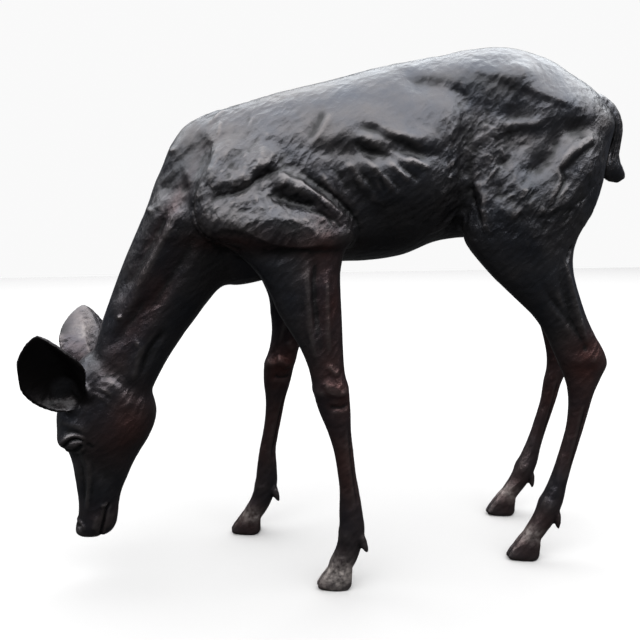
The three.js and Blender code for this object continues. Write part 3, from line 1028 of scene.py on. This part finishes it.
@dataclass(frozen=True)
class Clay:
    """Lumps and dabs of hand-laid clay: strong on the body, faint on the legs and the face.

    Sizes and heights are in millimetres. The small dabs are drawn out along a line at turn degrees.
    """

    body_height: Pair = (545, 640)
    body_front: Pair = (-340, -250)
    faint: float = 0.45
    busy_size: float = 120
    busy_edges: Pair = (-0.35, 0.45)
    least_worked: float = 0.3
    calmest: float = 0.85
    lump_size: float = 40
    lump_height: float = 0.9
    dab_size: float = 27
    dab_height: float = 1.5
    small_dab_size: float = 13
    small_dab_height: float = 1.1
    turn: float = 50

    def lay(self, skin: Skin, ears: Array) -> Array:
        """Moves the skin along its normals by lumps all over and by dabs where the clay is worked.

        Args:
            skin: the sculpted skin, moved in place.
            ears: 1 for a point on an ear, which stays nearly smooth.

        Returns:
            How roughly the clay is worked at each point, 0 to 1.
        """
        points = skin.points
        body = smoothstep(points[:, 2], *self.body_height) * smoothstep(points[:, 0], *self.body_front)
        busy = smoothstep(lumps(points, self.busy_size, 5), *self.busy_edges)
        calm = np.clip(summed(CALM_SPOTS, points), 0, self.calmest)
        worked = (self.least_worked + (1 - self.least_worked) * body * busy) * (1 - calm)
        dabbed = self.dab_height * dabs(points, self.dab_size, 10)
        dabbed = dabbed + self.small_dab_height * dabs(self.drawn_out(points), self.small_dab_size, 20)
        height = self.lump_height * lumps(points, self.lump_size, 1) + dabbed * worked
        height *= smoothstep(points[:, 2], 4, 30) * (1 - 0.95 * ears)
        strength = self.faint + (1 - self.faint) * body
        skin.points = points + skin.normals() * (height * strength)[:, None]
        return worked

    def drawn_out(self, points: Array) -> Array:
        """Turns the points to the way the small dabs run, and shrinks that way so that dabs come out long.

        Args:
            points: the points, one row each.

        Returns:
            Where to read the dabs for each point.
        """
        turn = math.radians(self.turn)
        along = points[:, 0] * math.cos(turn) + points[:, 2] * math.sin(turn)
        across = points[:, 2] * math.cos(turn) - points[:, 0] * math.sin(turn)
        return np.stack([along * 0.5, points[:, 1], across * 1.2], axis=1)


class Mask(Enum):
    """Where the finish changes, as a number from 0 to 1 that the piece carries at each point."""

    # dark patina in the seams, and painted shade in the dull spots
    HOLLOW = "hollow"
    RUBBED = "rubbed"
    WARM = "warm"
    # painted shade inside the ears
    CUP = "cup"
    WORKED = "worked"
    DUSTY = "dusty"


@dataclass
class Doe:
    """The whole figure: its forms joined to one skin, modelled, and given its finish.

    A pair of numbers that ends in edges says where a mask starts and where it is full.
    """

    fore_stance: float = 111
    hind_stance: float = 88
    sway: float = 5
    voxel: float = 2.4
    fetlock_edges: Pair = (90, 115)
    hoof_edges: Pair = (14, 26)
    coronet_edges: Pair = (70, 100)
    ear_side_edges: Pair = (47, 54)
    ear_height_edges: Pair = (318, 336)
    ear_front_edges: Pair = (380, 392)
    cup_side_edges: Pair = (26, 38)
    seam_edges: Pair = (0.015, 0.07)
    grime_edges: Pair = (0.012, 0.09)
    ridge_edges: Pair = (0.03, 0.12)
    seam_rounds: int = 120
    most_triangles: int = 196000
    clay: Clay = Clay()
    ears: tuple[Ear, Ear] = (
        Ear((-404, -44, 320), (-456, -84, 361), (-460, -92, 452), (-0.08, -0.95, 0.1), width=100),
        Ear(
            (-398, 40, 332), (-424, 80, 390), (-424, 103, 471), (-0.65, 0.75, -0.1), folds=((0.3, 1, 6),)
        ),
    )

    def legs(self) -> list[Leg]:
        """The four legs, each pair swayed a little to one side.

        Returns:
            The fore legs and then the hind legs, the left one first.
        """
        fore = {
            "rows": FORE_LEG,
            "root": 52,
            "sole": -2,
            "heel": (40, 100),
            "dewclaw_fall": 68,
            "dewclaw_length": 37,
        }
        hind = {
            "rows": HIND_LEG,
            "root": 50,
            "sole": 363,
            "heel": (421, 97),
            "dewclaw_fall": 82,
            "dewclaw_length": 38,
        }
        return [
            Leg(side=Flank.LEFT, stance=self.fore_stance + self.sway, step=SQUARE, **fore),
            Leg(side=Flank.RIGHT, stance=self.fore_stance - self.sway, step=FORE_STEP, **fore),
            Leg(side=Flank.LEFT, stance=self.hind_stance - self.sway, step=SQUARE, **hind),
            Leg(side=Flank.RIGHT, stance=self.hind_stance + self.sway, step=HIND_STEP, **hind),
        ]

    def forms(self) -> list[MidForm | Leg | Ear]:
        """All forms that the doe is built up from.

        Returns:
            Trunk, neck, head, tail, legs and ears.
        """
        trunk, neck = MidForm(TRUNK, 260, 160), MidForm(NECK, 160, 110)
        head, tail = MidForm(HEAD, 170, 110), MidForm(TAIL, 90, 50)
        return [trunk, neck, head, tail, *self.legs(), *self.ears]

    def joined(self) -> Skin:
        """All shells laid in one mesh and fused to one even skin.

        Returns:
            The fused skin, with four-cornered faces of about the voxel's size.
        """
        shells = [shell for form in self.forms() for shell in form.shells()]
        starts = np.cumsum([0] + [len(shell.points) for shell in shells[:-1]])
        points = np.vstack([shell.points for shell in shells])
        quads = np.vstack([shell.quads + start for shell, start in zip(shells, starts)])
        tris = np.vstack([shell.tris + start for shell, start in zip(shells, starts)])
        faces = quads.tolist() + tris.tolist()
        mesh = bpy.data.meshes.new("forms")
        mesh.from_pydata(points.tolist(), [], faces)
        rough = bpy.data.objects.new("forms", mesh)
        bpy.context.scene.collection.objects.link(rough)
        fuse = rough.modifiers.new("fuse", "REMESH")
        fuse.mode = "VOXEL"
        fuse.voxel_size = self.voxel
        fused = evaluated(rough)
        skin = Skin(mesh_points(fused), mesh_corners(fused, 4))
        for old in (mesh, fused):
            bpy.data.meshes.remove(old)
        return skin

    def on_ear(self, points: Array) -> Array:
        """Where the ears are.

        Args:
            points: where to read it, one row each.

        Returns:
            1 for a point on an ear, fading to 0 on the head.
        """
        x, y, z = points.T
        side, height = smoothstep(np.abs(y), *self.ear_side_edges), smoothstep(z, *self.ear_height_edges)
        return side * height * smoothstep(-x, *self.ear_front_edges)

    def soften(self, skin: Skin) -> None:
        """Rounds off the seams between the forms, and leaves the hooves and the ears as they are.

        Args:
            skin: the joined skin, moved in place.
        """
        skin.smooth(1.0, 8, back=1.04)
        ears = self.on_ear(skin.points)
        skin.smooth(ears, 24, back=1.03)
        height = skin.points[:, 2]
        hooves = smoothstep(height, *self.hoof_edges) * (1 - smoothstep(height, *self.coronet_edges))
        skin.smooth(hooves, 24, back=1.02)
        seams = smoothstep(skin.hollow(2), *self.seam_edges)
        for _ in range(7):
            seams = np.maximum(seams, 0.95 * skin.mean(seams))
        kept = 1 - smoothstep(height, *self.fetlock_edges)
        skin.smooth(seams * (1 - np.maximum(kept, ears)), self.seam_rounds)

    def sculpt(self, skin: Skin) -> Array:
        """Raises the forms along the skin's own normals, the large ones first, and leaves it rough.

        Each row of layers gives the forms, the shares of the normal across the figure between which
        they fade in, and how much of their height they get.

        Args:
            skin: the softened skin, moved in place.

        Returns:
            How roughly the clay is worked at each point, 0 to 1.
        """
        layers = (
            (RELIEF, 0.1, 0.6, 1.0),
            (BODY_STROKES, 0.1, 0.5, 0.85),
            (LEG_STROKES, 0.05, 0.4, 1.3),
            (FINE_FORMS, 0.05, 0.4, 1.0),
            (HEAD_STROKES, 0.0, 0.15, 1.0),
            (FINE_STROKES, 0.05, 0.4, 0.7),
            (self.tail_strands(), 0.0, 0.3, 1.0),
        )
        for forms, low, high, share in layers:
            self.raise_forms(skin, forms, low, high, share)
        return self.clay.lay(skin, self.on_ear(skin.points))

    def raise_forms(
        self, skin: Skin, forms: tuple[Form | Stroke, ...], low: float, high: float, share: float
    ) -> None:
        """Adds up the forms and moves the skin by them.

        Args:
            skin: the skin to move.
            forms: forms or strokes.
            low: share of the normal across the figure where they fade in.
            high: share where they are whole.
            share: how much of their height they get.
        """
        normals = skin.normals()
        flank = smoothstep(np.abs(normals[:, 1]), low, high) * (1 - self.on_ear(skin.points))
        rise = summed(forms, skin.points) * share
        skin.points = skin.points + normals * (rise * flank)[:, None]

    def tail_strands(self) -> tuple[Stroke, ...]:
        """Grooves side by side down the tail, drifting from its back to the rump side, as if combed.

        Returns:
            One stroke for each groove.
        """
        line = np.array(((500, 838), (526, 824), (543, 800), (546, 770), (545, 742), (548, 715)))
        lean = np.array((0.2, 0.7, 1, 1, 1, 1))
        drift = np.array((4, 3, 0, -4, -9, -14))
        strands = []
        for start in np.linspace(-8, 26, 6):
            off = start + drift
            path = line + np.stack([off * lean, off * (1 - lean)], axis=1)
            strands.append(Stroke(tuple(map(tuple, path)), 2.4, 2.4, -3.6, fade=0.2))
        return tuple(strands)

    def piece(self) -> bpy.types.Object:
        """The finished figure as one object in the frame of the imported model.

        Returns:
            The object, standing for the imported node.
        """
        skin = self.joined()
        log.info("joined: %d points", len(skin.points))
        self.soften(skin)
        worked = self.sculpt(skin)
        mesh = self.thinned(skin, self.masks(skin, worked))
        piece = bpy.data.objects.new("doe_bronze", mesh)
        bpy.context.scene.collection.objects.link(piece)
        mesh.polygons.foreach_set("use_smooth", np.ones(len(mesh.polygons), bool))
        log.info("doe: %d faces", len(mesh.polygons))
        return piece

    def masks(self, skin: Skin, worked: Array) -> dict[Mask, Array]:
        """Where the finish changes, and where shade is painted.

        Args:
            skin: the modelled skin.
            worked: how roughly the clay is worked at each point.

        Returns:
            One number from 0 to 1 for each point and each mask.
        """
        bend, normals, points = skin.hollow(4), skin.normals(), skin.points
        ears = self.on_ear(points)
        # painted shade: the inside of each ear's cup and the root of the near ear
        root = CUP_ROOT.rise(points) * smoothstep(np.abs(points[:, 1]), *self.cup_side_edges)
        inside = np.zeros(len(ears))
        for ear in self.ears:
            facing = smoothstep(normals @ unit(np.array(ear.open)), 0.0, 0.5)
            inside = np.maximum(inside, ears * facing * (points[:, 1] * ear.root[1] > 0))
        cup = np.clip(inside + root, 0, 1)
        back = ears * (1 - cup)
        seams = smoothstep(bend, *self.grime_edges) * (1 - ears)
        # painted shade: the dull spots and the front edge of the far ear
        painted_shade = summed(PAINTED_SHADE_SPOTS, points) + back * SHADED_EAR_EDGE.rise(points)
        dusty = summed(DUSTY_SPOTS, points) + back * PALE_EAR.rise(points)
        return {
            Mask.HOLLOW: np.clip(seams + painted_shade, 0, 1),
            Mask.RUBBED: smoothstep(-bend, *self.ridge_edges) * (1 - ears),
            Mask.WARM: np.clip(summed(WARM_SPOTS, points), 0, 1),
            Mask.CUP: cup,
            Mask.WORKED: worked * (1 - ears),
            Mask.DUSTY: np.clip(dusty, 0, 1),
        }

    def thinned(self, skin: Skin, masks: dict[Mask, Array]) -> bpy.types.Mesh:
        """The skin with its plain stretches thinned, in metres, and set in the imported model's box.

        Args:
            skin: the modelled skin.
            masks: the masks for the mesh to carry.

        Returns:
            The thinned mesh.
        """
        rough = bpy.data.meshes.new("skin")
        rough.from_pydata(placed(skin.points).tolist(), [], skin.faces.tolist())
        for mask, values in masks.items():
            carried = rough.attributes.new(mask.value, "FLOAT", "POINT")
            carried.data.foreach_set("value", values.astype(np.float32))
        full = bpy.data.objects.new("skin", rough)
        bpy.context.scene.collection.objects.link(full)
        thin = full.modifiers.new("thin", "DECIMATE")
        thin.ratio = min(1.0, self.most_triangles / (2 * len(skin.faces)))
        mesh = evaluated(full)
        mesh.name = "doe_bronze"
        bpy.data.meshes.remove(rough)
        return mesh


def placed(points: Array) -> Array:
    """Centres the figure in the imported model's box, stands it on that box's floor and keeps it inside.

    Args:
        points: points in the sculptor's frame, in millimetres.

    Returns:
        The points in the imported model's frame, in metres.
    """
    low, high = (np.array(corner) for corner in CAD_BOX)
    points = points * MM
    middle = (points.min(0) + points.max(0)) / 2
    shift = (low + high) / 2 - middle
    shift[2] = low[2] - points[:, 2].min()
    return np.clip(points + shift, low, high)


def evaluated(thing: bpy.types.Object) -> bpy.types.Mesh:
    """Applies an object's modifiers and removes the object.

    Args:
        thing: an object with modifiers.

    Returns:
        Its shape as a new mesh.
    """
    graph = bpy.context.evaluated_depsgraph_get()
    mesh = bpy.data.meshes.new_from_object(thing.evaluated_get(graph))
    bpy.data.objects.remove(thing)
    return mesh


def mesh_points(mesh: bpy.types.Mesh) -> Array:
    """Reads the points of a mesh.

    Args:
        mesh: the mesh.

    Returns:
        One row for each point.
    """
    points = np.empty(3 * len(mesh.vertices), np.float32)
    mesh.vertices.foreach_get("co", points)
    return points.reshape(-1, 3).astype(float)


def mesh_corners(mesh: bpy.types.Mesh, count: int) -> Array:
    """Reads the corners of a mesh's faces.

    Args:
        mesh: the mesh.
        count: how many corners each face has.

    Returns:
        The points at its corners, one row for each face.
    """
    corners = np.empty(len(mesh.loops), np.int32)
    mesh.loops.foreach_get("vertex_index", corners)
    return corners.reshape(-1, count)


# --------------------------------------------------------------------------------------------------
# Finish


class Nodes:
    """A node tree with short ways to add and join nodes."""

    def __init__(self, tree: bpy.types.NodeTree) -> None:
        """Keeps the tree to work in."""
        self.tree = tree

    def add(self, kind: str, **inputs: object) -> bpy.types.Node:
        """Adds a node.

        Args:
            kind: the node's type without its first word.
            inputs: a value for each named input, or a socket to link to it.

        Returns:
            The new node.
        """
        node = self.tree.nodes.new("ShaderNode" + kind)
        for name, value in inputs.items():
            self.set(node, name.replace("_", " "), value)
        return node

    def set(self, node: bpy.types.Node, name: str | int, value: object) -> None:
        """Sets one input of a node.

        Args:
            node: the node.
            name: the input's name or number.
            value: its value, or a socket to link to it.
        """
        if isinstance(value, Socket):
            self.tree.links.new(value, node.inputs[name])
        else:
            node.inputs[name].default_value = value

    def math(self, operation: str, *values: Socket | float) -> Socket:
        """A sum, product or other operation on numbers.

        Args:
            operation: the operation.
            values: what it works on, in order.

        Returns:
            The result.
        """
        node = self.add("Math")
        node.operation = operation
        for i, value in enumerate(values):
            self.set(node, i, value)
        return node.outputs[0]

    def span(self, value: Socket, low: float, high: float, to: float = 0.0, end: float = 1.0) -> Socket:
        """Maps a value from one range to another and keeps it inside that.

        Args:
            value: what to map.
            low: the value that becomes to.
            high: the value that becomes end.
            to: where the new range starts.
            end: where it ends.

        Returns:
            The mapped value.
        """
        node = self.add("MapRange", Value=value, From_Min=low, From_Max=high, To_Min=to, To_Max=end)
        return node.outputs["Result"]

    def blend(self, share: Socket, first: Socket | Triple, second: Socket | Triple) -> Socket:
        """A colour between two.

        Args:
            share: the share of the second.
            first: a colour.
            second: another.

        Returns:
            The blended colour.
        """
        node = self.add("Mix")
        node.data_type = "RGBA"
        self.set(node, "Factor", share)
        for index, value in ((6, first), (7, second)):
            self.set(node, index, value if isinstance(value, Socket) else (*value, 1))
        return node.outputs[2]

    def noise(self, place: Socket, scale: Socket | float, detail: float, rough: float = 0.55) -> Socket:
        """Cloudy noise at a place."""
        node = self.add("TexNoise", Vector=place, Scale=scale, Detail=detail, Roughness=rough)
        return node.outputs["Fac"]

    def place(self) -> Socket:
        """The place on the piece, in metres."""
        return self.add("TexCoord").outputs["Object"]

    def mask(self, mask: Mask) -> Socket:
        """Reads a mask that the piece carries.

        Args:
            mask: which one.

        Returns:
            Its value, from 0 to 1.
        """
        node = self.add("Attribute")
        node.attribute_name = mask.value
        return node.outputs["Fac"]

    def slanted(self, place: Socket, length: float, turn: float) -> Socket:
        """A place for marks that run up towards the tail.

        Args:
            place: the place to turn and stretch.
            length: how much longer a mark is than it is wide.
            turn: the way the marks run, in radians up from +X.

        Returns:
            The turned place.
        """
        node = self.add("Mapping", Vector=place)
        node.vector_type = "TEXTURE"
        node.inputs["Rotation"].default_value = (0, -turn, 0)
        node.inputs["Scale"].default_value = (length, 1, 1)
        return node.outputs["Vector"]

    def group(self, tree: bpy.types.NodeTree) -> bpy.types.Node:
        """Adds a node group.

        Args:
            tree: the group.

        Returns:
            The node that holds it.
        """
        node = self.add("Group")
        node.node_tree = tree
        return node


@dataclass
class Group:
    """A shader node group to fill, with the sockets that carry its inputs and take its outputs."""

    nodes: Nodes
    given: dict[str, Socket]
    wanted: dict[str, Socket]

    @staticmethod
    def start(name: str, inputs: dict[str, float], outputs: tuple[str, ...]) -> Group:
        """Starts a group.

        Args:
            name: the group's name.
            inputs: its inputs and their values.
            outputs: its outputs.

        Returns:
            The group, with nothing between its inputs and outputs.
        """
        tree = bpy.data.node_groups.new(name, "ShaderNodeTree")
        for key, value in inputs.items():
            socket = tree.interface.new_socket(key, in_out="INPUT", socket_type="NodeSocketFloat")
            socket.default_value = value
        for key in outputs:
            tree.interface.new_socket(key, in_out="OUTPUT", socket_type="NodeSocketFloat")
        first, last = tree.nodes.new("NodeGroupInput"), tree.nodes.new("NodeGroupOutput")
        given = {key: first.outputs[key] for key in inputs}
        wanted = {key: last.inputs[key] for key in outputs}
        return Group(Nodes(tree), given, wanted)

    def give(self, name: str, value: Socket) -> None:
        """Links a value to an output."""
        self.nodes.tree.links.new(value, self.wanted[name])


@dataclass(frozen=True)
class ToolMarks:
    """Marks of the sculptor's tools and thumbs: dents side by side, combing in places, and pits.

    A scale is about how many marks of a kind there are in a metre. A slant is how much longer a mark is
    than it is wide, and the way it runs in radians up from +X.
    """

    dents: float = 0.6
    combing: float = 0.22
    pits: float = 0.04
    waver: float = 0.02
    waver_scale: float = 30.0
    dent_scale: float = 85.0
    dent_slant: Pair = (2.2, 0.9)
    dent_rim: float = 0.7
    broad_scale: float = 60.0
    broad_slant: Pair = (2.0, 0.8)
    comb_scale: float = 330.0
    comb_slant: Pair = (2.2, 0.95)
    patch_scale: float = 17.0
    patch_edges: Pair = (0.42, 0.6)
    least_combed: float = 0.15
    pit_scale: float = 260.0
    pit_edges: Pair = (0.3, 0.4)

    def group(self) -> bpy.types.NodeTree:
        """All marks in one node group.

        Returns:
            A group that gives a height.
        """
        shares = {"Depth": 1.0, "Dents": self.dents, "Combing": self.combing, "Pits": self.pits}
        marks = Group.start("tool_marks", shares, ("Height",))
        nodes, given = marks.nodes, marks.given
        place = nodes.place()
        dented, combed = self.dented(nodes, place), self.combed(nodes, place)
        pitted = nodes.span(nodes.noise(place, self.pit_scale, 2.0), *self.pit_edges, -1.0, 0.0)
        height = nodes.math("MULTIPLY", dented, given["Dents"])
        height = nodes.math("ADD", height, nodes.math("MULTIPLY", combed, given["Combing"]))
        height = nodes.math("ADD", height, nodes.math("MULTIPLY", pitted, given["Pits"]))
        marks.give("Height", nodes.math("MULTIPLY", height, given["Depth"]))
        return nodes.tree

    def dented(self, nodes: Nodes, place: Socket) -> Socket:
        """Dents with wavering rims, over broader swells.

        Args:
            nodes: the group's nodes.
            place: the place on the piece.

        Returns:
            A height.
        """
        waver = nodes.add("TexNoise", Vector=place, Scale=self.waver_scale, Detail=3.0)
        bent = nodes.add("VectorMath")
        bent.operation = "MULTIPLY_ADD"
        for i, value in enumerate((waver.outputs["Color"], (self.waver,) * 3, place)):
            nodes.set(bent, i, value)
        slanted = nodes.slanted(bent.outputs[0], *self.dent_slant)
        cells = nodes.add("TexVoronoi", Vector=slanted, Scale=self.dent_scale)
        dents = nodes.math("MINIMUM", cells.outputs["Distance"], self.dent_rim)
        swells = nodes.noise(nodes.slanted(place, *self.broad_slant), self.broad_scale, 5.0, 0.6)
        return nodes.math("ADD", dents, swells)

    def combed(self, nodes: Nodes, place: Socket) -> Socket:
        """Fine combing, deeper in some patches than in others.

        Args:
            nodes: the group's nodes.
            place: the place on the piece.

        Returns:
            A height.
        """
        combing = nodes.noise(nodes.slanted(place, *self.comb_slant), self.comb_scale, 4.0, 0.66)
        patches = nodes.noise(place, self.patch_scale, 2.0)
        where = nodes.span(patches, *self.patch_edges, self.least_combed, 1.0)
        return nodes.math("MULTIPLY", combing, where)


@dataclass(frozen=True)
class Patina:
    """Uneven patina: broad clouds, and flecks that are fleck_share times finer."""

    scale: float = 9.0
    cloud_edges: Pair = (0.36, 0.64)
    fleck_share: float = 22.0
    fleck_edges: Pair = (0.6, 0.7)

    def group(self) -> bpy.types.NodeTree:
        """Clouds and flecks in one node group.

        Returns:
            A group that gives both, each from 0 to 1.
        """
        patina = Group.start("patina_clouds", {"Scale": self.scale}, ("Clouds", "Flecks"))
        nodes, given = patina.nodes, patina.given
        place = nodes.place()
        broad = nodes.noise(place, given["Scale"], 5.0, 0.62)
        fine = nodes.noise(place, nodes.math("MULTIPLY", given["Scale"], self.fleck_share), 4.0, 0.6)
        patina.give("Clouds", nodes.span(broad, *self.cloud_edges))
        patina.give("Flecks", nodes.span(fine, *self.fleck_edges))
        return nodes.tree


@dataclass(frozen=True)
class Bronze:
    """Brown-black patina under wax, warmer on the legs, neck and cheeks, with dust on the claws, and
    painted shade inside the ears and in dull spots.

    The shares that end in rough are how much duller seam patina and painted shade, flecks and dust make
    it.
    """

    dark: Triple = (0.040, 0.041, 0.048)
    brown: Triple = (0.062, 0.056, 0.056)
    warm: Triple = (0.098, 0.039, 0.033)
    bare: Triple = (0.26, 0.22, 0.20)
    # dark patina in the seams, also the colour of the painted shade in the dull spots
    grime_and_shade_tone: Triple = (0.018, 0.017, 0.017)
    # painted shade inside the ears
    cup: Triple = (0.010, 0.008, 0.008)
    dust: Triple = (0.36, 0.31, 0.28)
    grime_and_shade_share: float = 0.85
    metallic: float = 0.85
    dust_cover: float = 0.66
    roughness: Pair = (0.30, 0.40)
    grime_rough: float = 0.18
    fleck_rough: float = 0.04
    dust_rough: float = 0.12
    dust_scale: float = 110.0
    dust_edges: Pair = (0.36, 0.64)
    least_dust: float = 0.2
    least_warm: float = 0.35
    worn: Pair = (0.25, 0.08)
    coat: float = 0.12
    coat_roughness: float = 0.2
    mark_strength: float = 0.7
    mark_depth: float = 0.007
    least_marked: float = 0.35

    def material(self) -> bpy.types.Material:
        """The material of the figure.

        Returns:
            A new material with this finish.
        """
        material = bpy.data.materials.new("dark_bronze")
        material.use_nodes = True
        nodes = Nodes(material.node_tree)
        shader = material.node_tree.nodes["Principled BSDF"]
        patina = nodes.group(Patina().group())
        clouds = patina.outputs["Clouds"]
        patches = nodes.noise(nodes.place(), self.dust_scale, 4.0, 0.65)
        patchy = nodes.span(patches, *self.dust_edges, self.least_dust, 1.0)
        dust = nodes.math("MULTIPLY", nodes.mask(Mask.DUSTY), patchy)
        grime_and_shade = nodes.math("MULTIPLY", nodes.mask(Mask.HOLLOW), self.grime_and_shade_share)
        rough = nodes.span(clouds, 0.0, 1.0, *self.roughness)
        flecks = patina.outputs["Flecks"]
        for extra, share in (
            (grime_and_shade, self.grime_rough),
            (flecks, self.fleck_rough),
            (dust, self.dust_rough),
        ):
            rough = nodes.math("ADD", rough, nodes.math("MULTIPLY", extra, share))
        metal = nodes.math("SUBTRACT", self.metallic, nodes.math("MULTIPLY", dust, self.dust_cover))
        nodes.set(shader, "Base Color", self.colour(nodes, clouds, dust, grime_and_shade))
        nodes.set(shader, "Roughness", rough)
        nodes.set(shader, "Metallic", metal)
        nodes.set(shader, "Normal", self.marks(nodes))
        nodes.set(shader, "Coat Weight", self.coat)
        nodes.set(shader, "Coat Roughness", self.coat_roughness)
        return material

    def colour(self, nodes: Nodes, clouds: Socket, dust: Socket, grime_and_shade: Socket) -> Socket:
        """The colour of the patina.

        Args:
            nodes: the material's nodes.
            clouds: the uneven patina, from 0 to 1.
            dust: how dusty it is.
            grime_and_shade: how much dark patina in the seams and painted shade it holds.

        Returns:
            The colour.
        """
        broken = nodes.span(clouds, 0.0, 1.0, self.least_warm, 1.0)
        warm = nodes.math("MULTIPLY", nodes.mask(Mask.WARM), broken)
        worn = nodes.math("MULTIPLY", nodes.mask(Mask.RUBBED), nodes.span(clouds, 0.0, 1.0, *self.worn))
        colour = nodes.blend(clouds, self.dark, self.brown)
        colour = nodes.blend(warm, colour, self.warm)
        colour = nodes.blend(worn, colour, self.bare)
        colour = nodes.blend(dust, colour, self.dust)
        # dark patina in the seams and painted shade in the dull spots
        colour = nodes.blend(grime_and_shade, colour, self.grime_and_shade_tone)
        # painted shade inside the ears
        return nodes.blend(nodes.mask(Mask.CUP), colour, self.cup)

    def marks(self, nodes: Nodes) -> Socket:
        """Tool marks, deeper where the clay is roughly worked.

        Args:
            nodes: the material's nodes.

        Returns:
            The normal with the marks on it.
        """
        marks = nodes.group(ToolMarks().group())
        depth = nodes.span(nodes.mask(Mask.WORKED), 0.0, 1.0, self.least_marked, 1.0)
        nodes.set(marks, "Depth", depth)
        bump = nodes.add("Bump", Height=marks.outputs["Height"])
        nodes.set(bump, "Strength", self.mark_strength)
        nodes.set(bump, "Distance", self.mark_depth)
        return bump.outputs["Normal"]


# --------------------------------------------------------------------------------------------------
# Studio


@dataclass(frozen=True)
class Softbox:
    """A soft rectangular light that hangs level and shines down."""

    name: str
    place: Triple
    size: Pair
    watts: float
    tint: Triple

    def build(self) -> bpy.types.Object:
        """Adds the light.

        Returns:
            The light's object.
        """
        light = bpy.data.lights.new(self.name, "AREA")
        light.shape = "RECTANGLE"
        light.size, light.size_y = self.size
        light.energy = self.watts
        light.color = self.tint
        lamp = bpy.data.objects.new(self.name, light)
        lamp.location = self.place
        bpy.context.scene.collection.objects.link(lamp)
        return lamp


@dataclass(frozen=True)
class Studio:
    """A pale floor, one soft light from above and the camera at the doe's left, a little ahead of it."""

    sky: Softbox = Softbox("sky_panel", (0.0, -0.6, 6.0), (18, 15), 4000, (0.93, 0.97, 1.0))
    backdrop: float = 0.95
    ambient: float = 0.07
    ambient_tint: Triple = (0.72, 0.8, 1)
    floor_half: float = 5.5
    floor_seen: Triple = (0.40, 0.382, 0.37)
    floor_reflected: Triple = (0.02, 0.02, 0.02)
    floor_roughness: float = 0.9
    camera_place: Triple = (-0.243, -1.124, 0.641)
    camera_down: float = 9.61
    camera_turn: float = -10.0
    lens: float = 36.56
    sensor: float = 36

    def build(self) -> None:
        """Adds floor, camera, light and world."""
        self.floor()
        self.camera()
        self.sky.build()
        self.world()
        bpy.context.scene.view_settings.view_transform = "Standard"
        log.info("studio: floor, camera and %s", self.sky.name)

    def world(self) -> None:
        """A white backdrop to the eye, and a dim bluish one in reflections."""
        world = bpy.data.worlds.new("studio")
        bpy.context.scene.world = world
        world.use_nodes = True
        nodes = Nodes(world.node_tree)
        seen = world.node_tree.nodes["Background"]
        nodes.set(seen, "Color", (1, 1, 1, 1))
        nodes.set(seen, "Strength", self.backdrop)
        dim = nodes.add("Background", Color=(*self.ambient_tint, 1), Strength=self.ambient)
        mix = nodes.add("MixShader", Fac=nodes.add("LightPath").outputs["Is Camera Ray"])
        nodes.set(mix, 1, dim.outputs[0])
        nodes.set(mix, 2, seen.outputs[0])
        nodes.set(world.node_tree.nodes["World Output"], "Surface", mix.outputs[0])

    def floor(self) -> None:
        """A pale level floor, dimmer in reflections than it is to the eye."""
        h = self.floor_half
        mesh = bpy.data.meshes.new("floor")
        mesh.from_pydata([(-h, -h, 0), (h, -h, 0), (h, h, 0), (-h, h, 0)], [], [(0, 1, 2, 3)])
        floor = bpy.data.objects.new("floor", mesh)
        bpy.context.scene.collection.objects.link(floor)
        material = bpy.data.materials.new("pale_floor")
        material.use_nodes = True
        nodes = Nodes(material.node_tree)
        shader = material.node_tree.nodes["Principled BSDF"]
        nodes.set(shader, "Roughness", self.floor_roughness)
        nodes.set(shader, "Specular IOR Level", 0.0)
        eye = nodes.add("LightPath").outputs["Is Camera Ray"]
        nodes.set(shader, "Base Color", nodes.blend(eye, self.floor_reflected, self.floor_seen))
        mesh.materials.append(material)

    def camera(self) -> None:
        """The camera at the height of the doe's back, looking a little down."""
        data = bpy.data.cameras.new("camera")
        data.lens = self.lens
        data.sensor_width = self.sensor
        camera = bpy.data.objects.new("camera", data)
        camera.location = self.camera_place
        tilt = math.radians(90 - self.camera_down)
        camera.rotation_euler = (tilt, 0, math.radians(self.camera_turn))
        bpy.context.scene.collection.objects.link(camera)
        bpy.context.scene.camera = camera


def main() -> None:
    """Builds the doe and the studio."""
    logging.basicConfig(level=logging.INFO, format="%(name)s: %(message)s")
    piece = Doe().piece()
    piece.data.materials.append(Bronze().material())
    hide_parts(NODE)
    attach(piece, "root")
    Studio().build()


if __name__ == "__main__":
    main()
